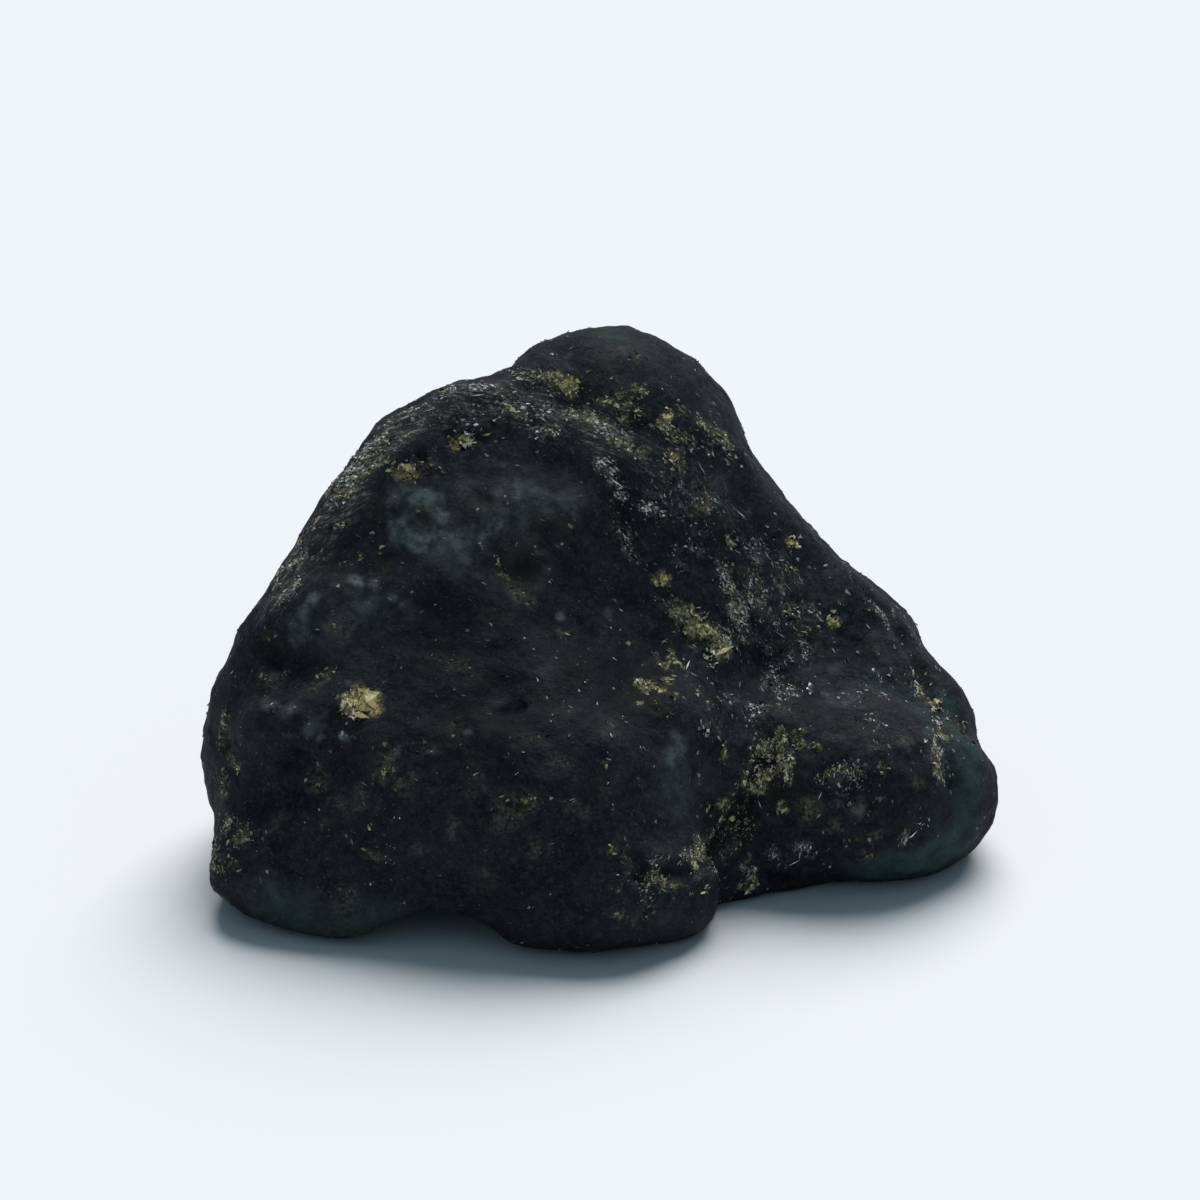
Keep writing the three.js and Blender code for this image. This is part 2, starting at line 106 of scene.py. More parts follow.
# ---- markings on the front: right, up, radius, strength ----
MARKS = {
    "mica": [
        (-2.2, 10.9, 0.7, 0.7), (-1.3, 10.6, 0.8, 1.0), (-4.6, 10.4, 0.9, 0.5), (-8.8, 9.3, 0.4, 0.7),
        (2.0, 9.9, 1.0, 0.8), (2.2, 9.0, 0.8, 0.8), (3.4, 9.1, 0.6, 1.0), (5.3, 9.3, 0.6, 0.8),
        (4.5, 8.2, 0.5, 0.5), (2.0, 8.4, 0.6, 0.8), (2.3, 7.6, 0.4, 0.9), (4.4, 8.9, 0.7, 0.9),
        (3.0, 8.2, 0.7, 0.8), (1.4, 7.8, 0.6, 0.7), (5.7, 7.9, 0.5, 0.7), (4.2, 6.2, 0.6, 0.7),
        (6.1, 8.8, 0.5, 0.6), (3.6, 7.1, 0.7, 0.9), (5.0, 7.0, 0.4, 0.6), (5.8, 6.2, 0.4, 0.6),
        (-0.9, 9.6, 0.5, 0.7), (0.2, 9.0, 0.5, 0.7), (1.2, 8.2, 0.5, 0.7), (-6.8, 8.0, 0.5, 1.0),
        (-5.6, 8.2, 0.5, 0.8), (-9.6, 6.6, 0.6, 1.0), (-7.7, 6.6, 0.4, 0.5), (4.9, 5.0, 0.7, 0.8),
        (6.2, 4.8, 0.6, 0.7), (7.3, 4.6, 0.4, 0.8), (6.5, 3.0, 0.7, 0.6), (8.7, 3.7, 0.5, 0.9),
        (9.6, 2.8, 0.5, 1.0), (11.5, 1.9, 0.5, 0.5), (12.8, 1.1, 0.4, 0.6), (3.1, 1.0, 0.6, 1.0),
        (4.6, 1.1, 0.4, 0.7), (4.3, -0.9, 0.9, 1.0), (5.3, -1.4, 0.9, 1.0), (6.2, -2.3, 0.7, 1.0),
        (5.0, -2.6, 0.6, 0.8), (2.8, -0.5, 0.7, 0.5), (4.2, -3.4, 0.6, 0.6), (3.2, -4.2, 0.7, 0.8),
        (2.9, -5.5, 0.9, 0.7), (3.7, -6.0, 0.5, 0.6), (1.8, -2.0, 0.4, 0.5), (11.6, -1.0, 0.5, 0.9),
        (2.3, -4.5, 0.7, 1.0), (3.4, -5.0, 0.8, 1.0), (1.7, -5.1, 0.5, 0.8), (2.7, -3.6, 0.6, 0.9),
        (0.6, 12.9, 0.3, 0.6), (1.6, 12.2, 0.3, 0.6), (-0.6, 11.8, 0.4, 0.5), (11.2, -10.2, 0.4, 0.6),
        (15.0, -9.6, 0.3, 0.6), (12.4, -11.9, 0.4, 0.5), (12.2, -1.8, 0.5, 0.8), (11.8, 0.0, 0.4, 0.6),
        (7.3, 0.0, 1.2, 0.4), (6.8, 1.5, 0.8, 0.5), (8.3, -0.6, 0.8, 0.5), (9.9, -1.3, 0.8, 0.5),
        (7.4, -2.4, 0.8, 0.4), (8.8, -4.2, 0.8, 0.5), (10.4, -5.6, 0.6, 0.5), (7.0, -5.8, 0.6, 0.5),
        (13.3, -3.0, 0.4, 0.5), (14.1, -4.0, 0.5, 0.4), (9.2, -6.8, 0.8, 0.7), (8.4, -7.7, 0.9, 0.9),
        (8.3, -8.9, 0.9, 0.9), (9.4, -8.3, 0.7, 0.7), (10.3, -7.0, 0.5, 0.7), (9.0, -9.9, 0.8, 0.8),
        (9.7, -10.7, 0.5, 0.9), (6.1, -7.8, 0.5, 0.7), (5.7, -10.6, 0.6, 0.8), (6.3, -9.9, 0.5, 0.7),
        (6.8, -11.0, 0.8, 0.9), (6.3, -12.1, 0.5, 0.8), (7.2, -12.8, 0.7, 0.7), (7.5, -13.9, 0.5, 0.9),
        (12.0, -8.7, 0.5, 0.6), (13.3, -9.1, 0.4, 0.6), (14.0, -8.0, 0.4, 0.5), (0.7, -14.2, 0.5, 0.6),
        (0.8, -16.0, 0.6, 0.6), (3.8, -15.5, 0.6, 0.6), (5.3, -14.6, 0.5, 0.7), (4.1, -13.6, 0.6, 0.7),
        (1.3, -12.9, 0.7, 0.5), (2.2, -14.9, 0.8, 0.4), (1.3, -10.4, 0.3, 0.7), (-12.0, -5.3, 0.8, 0.9),
        (-11.5, -5.2, 0.6, 1.0), (-10.7, -7.8, 0.5, 0.6), (-7.4, -6.3, 0.6, 0.5), (-4.2, -10.0, 0.8, 0.6),
        (-4.9, -11.0, 0.6, 0.4), (-7.1, -11.2, 0.4, 0.6), (-5.1, 2.2, 0.3, 0.9), (-13.0, 3.8, 0.6, 0.7),
        (-13.3, 2.6, 0.4, 0.8), (-12.0, 2.2, 0.4, 0.8), (-15.1, 1.1, 0.4, 0.9), (-15.7, 0.3, 0.5, 0.6),
        (-10.9, 3.1, 0.5, 0.5), (-17.0, -3.7, 0.6, 0.5), (-18.2, -8.2, 0.6, 0.7), (-19.0, -9.0, 0.6, 0.8),
        (-18.9, -6.4, 0.5, 0.6), (-16.0, -2.9, 0.5, 0.6), (-18.6, -9.3, 0.5, 0.7), (-19.2, -12.9, 0.6, 0.9),
        (-18.3, -13.2, 0.5, 0.6), (-11.1, -12.8, 0.4, 0.6), (-13.0, -15.0, 0.8, 0.4),
        (-7.6, -15.5, 0.3, 0.9), (-14.2, -8.8, 0.5, 0.3), (-14.3, -4.0, 0.5, 0.3),
    ],
    "glints": [
        (2.6, 4.8, 0.8, 1.0), (2.5, 3.9, 0.5, 0.9), (2.6, 6.0, 0.5, 0.7), (6.2, 1.2, 0.9, 0.8),
        (7.5, 1.0, 1.0, 1.0), (8.5, 0.3, 0.9, 1.0), (7.5, -0.6, 1.1, 1.0), (8.9, -1.0, 0.9, 1.0),
        (10.3, -0.8, 0.9, 0.9), (9.8, 0.3, 0.5, 0.6), (10.5, -1.8, 0.6, 0.9), (9.9, -2.6, 0.8, 0.9),
        (8.5, -3.7, 1.2, 0.8), (10.3, -4.5, 0.8, 1.0), (9.2, -4.7, 0.7, 0.7), (6.3, -4.9, 0.9, 0.7),
        (7.8, -5.5, 0.9, 0.8), (14.2, -3.8, 0.7, 0.7), (14.5, -5.0, 0.5, 0.8), (14.0, -7.5, 0.7, 0.8),
        (12.8, -8.7, 0.9, 1.0), (10.6, -12.2, 0.8, 0.9), (11.2, -9.2, 0.6, 0.9), (15.4, -11.8, 0.5, 0.9),
        (13.2, -12.6, 0.5, 0.7), (9.0, -12.6, 0.6, 0.8), (7.5, -13.5, 0.6, 1.0), (5.5, -6.4, 0.7, 0.6),
        (-19.2, -12.8, 0.7, 0.9), (-18.2, -12.0, 0.5, 0.6), (-6.5, 8.5, 1.0, 0.5), (-8.6, 7.1, 0.8, 0.5),
        (-13.6, 3.2, 0.8, 0.4), (8.6, -8.0, 1.2, 0.6), (6.9, -11.3, 1.2, 0.5), (3.9, -14.2, 1.0, 0.2),
        (6.6, 3.0, 0.7, 0.6), (4.2, 1.8, 0.8, 0.4), (1.3, -15.2, 0.9, 0.3), (6.5, -2.0, 1.5, 0.4),
        (8.0, -3.0, 1.8, 0.5), (10.5, -2.5, 1.5, 0.5), (12.5, -4.5, 1.3, 0.4), (13.4, -6.2, 1.2, 0.3),
        (8.0, 2.5, 1.5, 0.4), (9.8, 1.2, 1.3, 0.4), (5.5, 4.0, 1.2, 0.4), (4.0, 5.4, 1.2, 0.4),
        (4.0, 3.0, 1.0, 0.4), (12.0, -9.6, 1.5, 0.3), (1.0, 9.0, 1.6, 0.4), (5.2, 2.6, 1.2, 0.5),
        (7.0, 3.8, 1.0, 0.5), (9.0, 2.0, 1.0, 0.5),
    ],
    # Painted sheen: a pale bluish haze where smooth bumps catch a soft reflection.
    "painted_sheen": [
        (-7.8, 2.6, 1.3, 0.7), (-6.8, 2.0, 1.0, 0.5), (-4.3, 5.0, 1.2, 0.5), (-3.0, 5.3, 0.8, 0.5),
        (-1.2, 4.8, 1.0, 0.4), (-9.8, 5.6, 0.8, 0.5), (-13.8, -1.8, 1.0, 0.35), (-12.2, -1.6, 0.5, 0.4),
        (-16.3, -3.4, 0.5, 0.6), (-16.6, -5.1, 0.6, 0.6), (-15.4, -5.4, 0.6, 0.6), (-14.0, -6.1, 0.5, 0.7),
        (-12.9, -6.7, 0.3, 1.0), (0.4, -0.5, 0.5, 0.2), (-4.0, 0.1, 0.7, 0.3), (-2.8, -3.5, 1.0, 0.4),
        (-4.4, -4.4, 0.6, 0.4), (3.9, -7.6, 1.0, 0.7), (12.2, -4.9, 0.9, 0.4), (14.2, -2.2, 1.2, 0.4),
        (11.0, -3.3, 1.2, 0.3), (-9.4, -0.4, 0.8, 0.3), (-10.6, 0.2, 0.5, 0.6), (6.3, 6.0, 1.0, 0.3),
        (-5.5, 3.8, 4.2, 0.25), (-12.6, -0.6, 1.8, 0.42), (4.2, -9.0, 2.2, 0.25), (9.5, 0.0, 3.0, 0.15),
    ],
    "pale": [
        (-12.2, 1.0, 0.42, 1.0), (-11.4, 0.9, 0.32, 1.0), (-1.8, -0.8, 0.28, 0.9), (-10.5, 0.2, 0.25, 0.7),
        (-9.9, -0.3, 0.25, 0.5), (0.4, -0.5, 0.3, 0.2), (-13.9, -6.9, 0.25, 0.6), (-12.9, -6.7, 0.25, 0.9),
        (-10.2, -7.6, 0.35, 0.5), (-12.6, -4.3, 0.25, 0.6), (-14.8, -1.0, 0.3, 0.5),
        (13.0, -10.4, 0.4, 0.5), (-14.5, -6.5, 0.4, 0.4), (-6.5, -6.6, 0.3, 0.4), (-1.6, 12.3, 0.25, 0.5),
        (-1.6, 11.6, 0.2, 0.4), (-4.2, 5.6, 0.3, 0.3),
    ],
    "cream": [
        (-11.6, -5.0, 0.75, 1.0), (-11.3, -5.5, 0.5, 0.9), (-12.4, -5.5, 0.45, 0.4),
        (-6.8, 8.0, 0.35, 0.8), (-9.7, 6.6, 0.4, 0.7), (3.4, 9.1, 0.45, 0.6), (-1.5, 10.6, 0.45, 0.6),
        (5.3, 9.3, 0.4, 0.4), (6.3, -2.1, 0.35, 0.8), (5.7, -2.7, 0.35, 0.6), (4.6, -1.4, 0.5, 0.5),
        (3.1, 1.0, 0.4, 0.5), (16.8, -5.3, 0.3, 1.0), (9.6, 2.8, 0.35, 0.5), (2.9, -4.6, 0.3, 0.7),
        (11.6, -1.0, 0.3, 0.5), (3.7, 7.1, 0.35, 0.5), (2.3, 7.6, 0.25, 0.6),
    ],
    "ochre": [
        (-1.3, 10.6, 0.8, 0.7), (3.4, 9.1, 0.6, 0.8), (5.3, 9.3, 0.5, 0.5), (-6.8, 8.0, 0.5, 1.0),
        (-9.6, 6.6, 0.5, 0.9), (2.3, 7.6, 0.4, 0.9), (3.6, 7.1, 0.7, 0.6), (9.6, 2.8, 0.6, 0.7),
        (8.7, 3.7, 0.5, 0.5), (3.1, 1.0, 0.6, 0.8), (5.3, -1.4, 0.8, 0.6), (6.2, -2.3, 0.6, 1.0),
        (11.6, -1.0, 0.5, 0.9), (12.2, -1.8, 0.4, 0.7), (-11.7, -5.0, 0.9, 1.0), (2.9, -4.6, 0.6, 0.5),
        (-15.1, 1.1, 0.3, 0.9), (-12.0, 2.2, 0.3, 0.7),
    ],
    # The stone's own green, with a painted glow where thin edges let light through.
    "green_and_glow": [
        (0.5, 13.0, 2.0, 0.4), (3.5, -9.8, 1.6, 0.5), (14.0, -4.0, 1.6, 0.4), (-3.0, 5.3, 1.6, 0.4),
        (-8.8, 4.6, 1.6, 0.4),
    ],
    "brown": [
        (-4.2, 1.5, 1.6, 0.9), (-3.0, 4.0, 1.2, 0.6), (-6.0, 5.0, 0.8, 0.6), (-10.8, 2.0, 0.9, 0.7),
        (-16.4, -2.0, 0.9, 0.5), (-18.3, -6.0, 0.8, 0.5), (2.6, -4.8, 1.4, 0.7), (13.0, -10.4, 0.5, 0.8),
        (13.5, -12.7, 0.4, 0.8), (8.6, -8.6, 1.6, 0.4), (6.8, -11.4, 1.2, 0.4), (-8.4, -16.2, 2.4, 0.6),
        (6.5, 2.9, 0.8, 0.5), (-8.8, 4.0, 0.5, 0.5),
    ],
    # Painted shade: darker spots on the front mass, its up-facing shelf and some pits.
    "dark": [
        (-7.5, -1.6, 2.6, 0.9), (-5.0, -5.0, 5.6, 0.8), (-9.0, -3.6, 2.0, 0.7), (-4.5, -7.6, 2.4, 0.7),
        (-5.6, -6.6, 2.8, 1.0), (0.5, -4.2, 3.4, 0.9), (-1.5, -5.4, 2.4, 0.7), (1.6, -5.6, 1.8, 0.6),
        (-8.2, -6.5, 2.2, 0.4), (4.5, 10.2, 0.9, 0.9), (13.5, -9.5, 2.4, 0.4), (-7.6, 8.5, 0.5, 0.7),
        (-8.4, 7.0, 0.5, 0.7), (-15.5, -8.0, 1.2, 0.4), (8.8, -13.9, 0.5, 0.9), (-6.4, -6.4, 3.4, 1.0),
    ],
    "blotch": [
        (-7.2, -3.2, 0.6, 0.9), (-7.4, -6.3, 0.8, 0.8), (-10.7, -7.7, 0.8, 0.7), (-4.2, -10.0, 1.0, 0.8),
        (-4.8, -11.2, 0.9, 0.5), (-14.2, -8.9, 0.7, 0.6), (-14.3, -4.1, 0.7, 0.5), (-7.2, -11.3, 0.6, 0.6),
        (-1.7, -1.8, 0.5, 0.6), (-12.9, -1.3, 0.7, 0.7), (-16.8, -3.8, 0.8, 0.6), (-18.5, -8.0, 0.6, 0.8),
        (-18.8, -9.2, 0.8, 0.9), (-18.8, -6.4, 0.8, 0.8), (-12.8, -15.2, 1.0, 0.6), (-15.4, -6.5, 0.5, 0.5),
        (-11.0, -12.8, 0.5, 0.6), (-1.4, -10.3, 0.5, 0.6), (-3.1, -12.5, 0.8, 0.4), (-1.8, -5.4, 0.9, 0.3),
        (-3.5, -7.0, 0.7, 0.3), (0.5, -6.5, 0.8, 0.4), (-4.2, 0.6, 0.7, 0.6), (-3.3, -0.2, 0.5, 0.5),
        (-12.0, -9.4, 0.6, 0.6), (-8.6, -7.6, 0.5, 0.6), (-9.0, -12.4, 0.5, 0.5), (-2.0, -8.2, 0.6, 0.5),
        (-5.6, -13.4, 0.5, 0.5), (-16.2, -11.2, 0.5, 0.5), (1.2, 12.4, 0.6, 0.5), (-1.6, 12.3, 0.3, 1.0),
        (-3.5, 3.2, 0.5, 0.5), (-5.0, 5.2, 0.4, 0.6), (-9.5, -9.0, 0.7, 0.4), (-6.0, -8.5, 0.7, 0.4),
        (-6.2, -9.6, 0.5, 0.4), (0.3, -9.3, 0.6, 0.4), (13.1, -10.4, 0.6, 0.9), (13.8, -11.7, 0.45, 1.0),
        (10.2, -10.6, 0.7, 0.8), (11.8, -11.4, 0.7, 0.7), (15.2, -7.4, 0.5, 0.7), (15.6, -9.0, 0.5, 0.6),
        (9.0, -5.4, 0.6, 0.5), (13.5, -12.9, 0.45, 0.6), (12.0, -9.0, 0.5, 0.7), (10.0, -7.1, 0.5, 0.6),
        (-0.6, -10.5, 0.5, 0.6),
    ],
    "dots": [
        (-2.4, 0.9, 0.16, 1.0), (-4.4, 2.8, 0.22, 1.0), (-5.2, 2.1, 0.2, 1.0), (-0.6, -2.5, 0.15, 0.8),
        (-0.7, -4.1, 0.15, 0.7), (-12.9, 3.7, 0.2, 1.0), (-15.2, 1.1, 0.2, 1.0),
        (-11.6, -11.4, 0.2, 0.9), (-10.1, -10.9, 0.2, 0.9), (-10.6, -12.3, 0.22, 0.9),
        (-10.4, -13.1, 0.2, 0.9), (-11.6, -14.2, 0.15, 0.9), (-18.6, -11.6, 0.25, 1.0),
        (-17.5, -11.7, 0.2, 0.8), (0.3, 9.5, 0.2, 1.0), (-6.1, 8.8, 0.25, 1.0), (-9.3, 7.0, 0.2, 1.0),
        (2.9, -4.6, 0.25, 1.0), (5.8, -3.4, 0.25, 1.0), (4.5, -3.2, 0.2, 1.0), (12.9, -9.1, 0.25, 1.0),
        (-3.6, -9.8, 0.15, 0.9), (-3.4, -15.3, 0.2, 0.7), (-7.5, -15.5, 0.25, 1.0),
        (16.2, -11.1, 0.2, 1.0), (18.1, -12.4, 0.15, 0.9), (8.0, -1.0, 0.25, 1.0), (8.2, 0.3, 0.25, 1.0),
        (17.1, -6.1, 0.25, 1.0), (17.3, -7.4, 0.3, 1.0), (-11.2, 0.8, 0.25, 1.0), (-10.5, 0.2, 0.2, 0.9),
        (-12.9, -6.7, 0.2, 0.8),
    ],
    "clumps": [
        (-11.8, -5.0, 0.5, 1.0), (-12.3, -5.6, 0.5, 0.6), (-6.8, 8.0, 0.4, 1.0), (-9.7, 6.6, 0.4, 0.9),
        (3.4, 9.1, 0.4, 0.6), (-1.4, 10.6, 0.5, 0.6), (6.3, -2.1, 0.4, 0.9), (5.6, -2.7, 0.4, 0.8),
        (4.9, -1.2, 0.7, 0.5), (3.1, 1.0, 0.4, 0.7), (9.6, 2.8, 0.4, 0.7), (11.6, -1.0, 0.4, 0.7),
        (16.8, -5.2, 0.4, 1.0), (8.4, -8.2, 1.0, 0.3), (7.0, -11.4, 0.9, 0.3), (5.3, -14.6, 0.4, 0.3),
        (3.6, 7.1, 0.5, 0.5),
    ],
}

# Markings that run in lines over the front: kind, radius, strength and places.
STREAMS = [
    ("lines", 1.3, 1.0, [(-16.2, 0.0), (-15.4, 1.4), (-14.6, 2.8), (-13.6, 4.2), (-12.6, 5.6),
                         (-11.6, 7.2), (-10.2, 8.6), (-8.6, 9.6), (-6.6, 10.2), (-4.6, 10.0)]),
    ("lines", 1.3, 0.8, [(-4.6, 10.0), (-2.6, 9.4), (-0.6, 8.7), (1.4, 7.8)]),
    ("lines", 1.3, 0.4, [(1.4, 7.8), (3.0, 6.6), (4.6, 5.6), (6.6, 4.8)]),
    ("glints", 0.8, 0.85, [(-13.1, 5.5), (-12.5, 6.5), (-11.6, 7.8), (-10.5, 8.8), (-9.2, 9.5),
                           (-8.0, 10.1), (-6.5, 10.6), (-5.0, 10.6), (-3.7, 10.2)]),
    ("glints", 0.8, 0.8, [(-12.8, 5.4), (-13.7, 4.0), (-14.7, 2.7), (-15.4, 1.2), (-16.0, 0.2)]),
    ("glints", 0.9, 0.9, [(-5.0, 10.2), (-3.5, 9.7), (-2.0, 9.4), (-0.5, 9.0), (0.7, 8.4), (2.0, 7.7)]),
    ("glints", 0.6, 0.8, [(-2.7, 8.6), (-1.7, 8.0), (-0.5, 7.5), (0.3, 6.7), (0.8, 5.9), (1.1, 5.0),
                          (1.1, 4.0)]),
    ("glints", 0.3, 1.0, [(0.7, 4.4), (1.1, 3.7), (1.6, 2.7), (2.0, 2.0), (2.7, 1.7)]),
    ("glints", 0.25, 0.9, [(4.1, 3.0), (4.8, 2.0), (5.3, 1.5)]),
    ("glints", 0.4, 1.0, [(16.8, -5.4), (17.2, -6.4), (17.4, -7.6), (17.7, -9.0)]),
    ("mica", 0.35, 0.7, [(-13.0, 5.6), (-14.2, 4.1), (-15.2, 2.6), (-16.0, 0.8)]),
    ("mica", 0.35, 0.7, [(-2.6, 9.9), (-0.4, 9.3), (1.4, 8.4), (2.6, 7.4)]),
    # The haze streams are painted sheen too.
    ("painted_sheen", 0.55, 0.6, [(-7.4, 3.2), (-5.8, 3.5), (-4.2, 4.1), (-2.6, 4.4), (-1.0, 4.6)]),
    ("painted_sheen", 0.5, 1.0, [(-14.4, 0.1), (-14.9, -0.6), (-15.1, -1.4), (-14.9, -2.2)]),
    ("pale", 0.16, 0.7, [(-14.5, 0.0), (-14.9, -0.7), (-15.0, -1.4), (-14.9, -2.2)]),
    # Green with a painted glow along the thin lower edges.
    ("green_and_glow", 1.9, 1.0, [(16.8, -5.4), (17.8, -7.6), (18.6, -10.0), (18.2, -12.0), (16.0, -13.2),
                         (13.3, -13.8)]),
    ("green_and_glow", 2.0, 0.65, [(-16.4, -15.6), (-14.2, -16.6), (-12.0, -16.8), (-10.4, -16.0)]),
    ("painted_sheen", 1.6, 0.12, [(-17.2, -14.6), (-15.2, -15.6), (-13.0, -16.0), (-10.8, -15.6)]),
    ("painted_sheen", 0.4, 0.5, [(-5.0, -5.0), (-3.6, -4.0), (-2.0, -3.3)]),
    ("blotch", 0.3, 0.6, [(-13.8, -10.1), (-12.5, -10.3), (-11.0, -10.1)]),
    ("blotch", 0.3, 0.6, [(-11.2, -8.6), (-10.0, -8.6), (-9.3, -9.1)]),
]

# Rims of painted sheen round a darker middle: right, up, radius, strength.
PAINTED_SHEEN_RINGS = [(-9.0, 4.2, 1.6, 1.0), (-13.6, -1.5, 1.4, 0.12), (-4.0, 1.4, 1.8, 0.2)]

# Bright splinters on the front: both ends and the width.
SPLINTERS = [
    ((0.5, 6.1), (1.2, 5.6), 0.1), ((6.8, 4.5), (7.3, 4.1), 0.08),
    ((15.3, -12.1), (15.9, -11.5), 0.07), ((12.0, -13.3), (12.7, -13.9), 0.08),
    ((7.9, -10.0), (8.1, -10.5), 0.06), ((4.5, -3.0), (4.3, -3.5), 0.1),
    ((9.7, -2.0), (10.5, -2.2), 0.07), ((9.2, 0.9), (9.6, 0.4), 0.05),
    ((10.0, -1.2), (10.7, -1.5), 0.06), ((11.1, -9.6), (10.9, -10.0), 0.07),
    ((6.9, -0.9), (7.4, -1.3), 0.06), ((-6.5, 10.2), (-5.7, 10.3), 0.06),
    ((-5.2, 9.9), (-4.3, 9.7), 0.07), ((-3.1, 9.2), (-2.6, 8.9), 0.06),
    ((-14.0, 4.6), (-14.6, 3.9), 0.06), ((-8.9, 9.4), (-8.2, 9.6), 0.07),
    ((4.9, 6.9), (5.3, 6.2), 0.07), ((5.5, 5.0), (6.1, 4.8), 0.06),
    ((9.4, -13.3), (10.0, -13.0), 0.06), ((7.0, -5.3), (7.3, -6.0), 0.05),
    ((-1.0, 9.4), (-0.4, 9.2), 0.07), ((8.8, -1.6), (9.3, -1.9), 0.06),
]

# Coarser cream crystals on the front, which lean upward: right end, left end and width.
CRYSTALS = [
    ((-11.0, -4.6), (-12.1, -5.2), 0.9), ((-11.2, -5.5), (-11.8, -4.5), 0.75),
    ((-11.0, -5.3), (-12.3, -5.5), 0.55), ((-12.2, -4.9), (-12.9, -5.6), 0.5),
    ((-11.5, -5.9), (-12.4, -5.7), 0.35), ((-6.3, 7.9), (-7.0, 8.2), 0.45),
    ((-5.4, 8.4), (-5.9, 8.2), 0.28), ((-9.3, 6.5), (-9.9, 6.8), 0.4),
    ((6.7, -2.3), (5.7, -2.8), 0.32), ((5.2, -1.2), (4.6, -1.4), 0.35),
    ((3.4, 1.1), (2.9, 1.0), 0.3), ((17.0, -5.0), (16.6, -5.2), 0.4),
    ((3.7, 9.2), (3.1, 9.1), 0.32), ((-1.1, 10.6), (-1.6, 10.5), 0.32),
    ((9.8, 2.9), (9.4, 2.8), 0.3), ((11.8, -1.0), (11.4, -1.1), 0.3),
    ((8.6, -9.0), (8.2, -8.9), 0.28), ((5.4, -14.5), (5.0, -14.7), 0.3),
]

# Pieces of shards laid one by one: how bright and how ochre they are, and their finish.
LAID = {
    "pale_splinters": (SPLINTERS, 1.0, 0.0, "pale_spark"),
    "cream_crystals": (CRYSTALS, 0.44, 1.0, "mica_flake"),
}

# Markings out of the camera's sight: x, y, z, radius, strength.
BACK_MARKS = {
    # Green with a painted glow at thin edges.
    "green_and_glow": [
        (17.5, 4.0, 4.0, 3.4, 0.7), (-16.0, 6.0, 3.0, 4.0, 0.5), (4.0, 13.0, 2.0, 4.0, 0.5),
    ],
}

# Markings that noise lays on the hidden side: size, least and most noise, size of the broader
# noise that breaks them up, seed of the first noise, strength.
HIDDEN = {
    "glints": (2.0, 0.15, 0.5, 6.0, 61, 0.8),
    "mica": (1.6, 0.15, 0.5, 5.0, 63, 0.8),
    "lines": (3.0, -0.2, 0.3, 8.0, 65, 0.35),
    # Painted sheen on the hidden side.
    "painted_sheen": (2.4, 0.1, 0.6, 7.0, 67, 0.5),
    "blotch": (0.9, 0.2, 0.6, 5.0, 69, 0.8),
    "ochre": (2.0, 0.0, 0.5, 5.0, 71, 0.8),
}

# ---- loose mica ----
SHARD_FACES = [[0, 2, 1], [0, 1, 3], [1, 2, 3], [2, 0, 3]]
SHARD_CLEARANCE = 0.01  # the least height of a shard's corner above the floor
SKYWARD = np.array([0.0, 0.4, 0.9])
SUNK_SHARE = 0.4  # how deep a strewn shard's corners lie in the skin, by its thickness
SHORT_SIDE = 0.4  # its outer corner's reach across, by the inner one's
LAID_RISE, LAID_BULGE, LAID_SHORT_SIDE = 0.06, 0.3, 0.6

# For each strewn piece: how many shards, their least and greatest length, their least and
# greatest width as a share of it, how thick they are, how far they lean in degrees, how firmly
# they lie along the mica sheets, how far they turn to the sky, how dark most of them are, the
# seed and the finish.
STREWN_COLUMNS = ("count", "size", "slender", "thickness", "tilt", "aligned", "lift", "bias",
                  "seed", "finish")
STREWN = {
    "mica_flakes": (11000, (0.1, 0.52), (0.3, 0.8), 0.1, 65, 1.6, 0.35, 1.0, 41, "mica_flake"),
    "pale_sparks": (17000, (0.08, 0.38), (0.25, 0.8), 0.06, 60, 2.4, 0.55, 1.4, 42, "pale_spark"),
    "mica_crumbs": (700, (0.14, 0.46), (0.6, 1.0), 0.12, 60, 0.0, 0.3, 0.4, 44, "mica_flake"),
    "pale_dots": (160, (0.12, 0.3), (0.6, 1.0), 0.1, 50, 0.0, 0.4, 0.3, 45, "pale_spark"),
    "mica_needles": (1500, (0.2, 0.75), (0.08, 0.18), 0.04, 20, 4.0, 0.4, 1.0, 43, "pale_spark"),
}

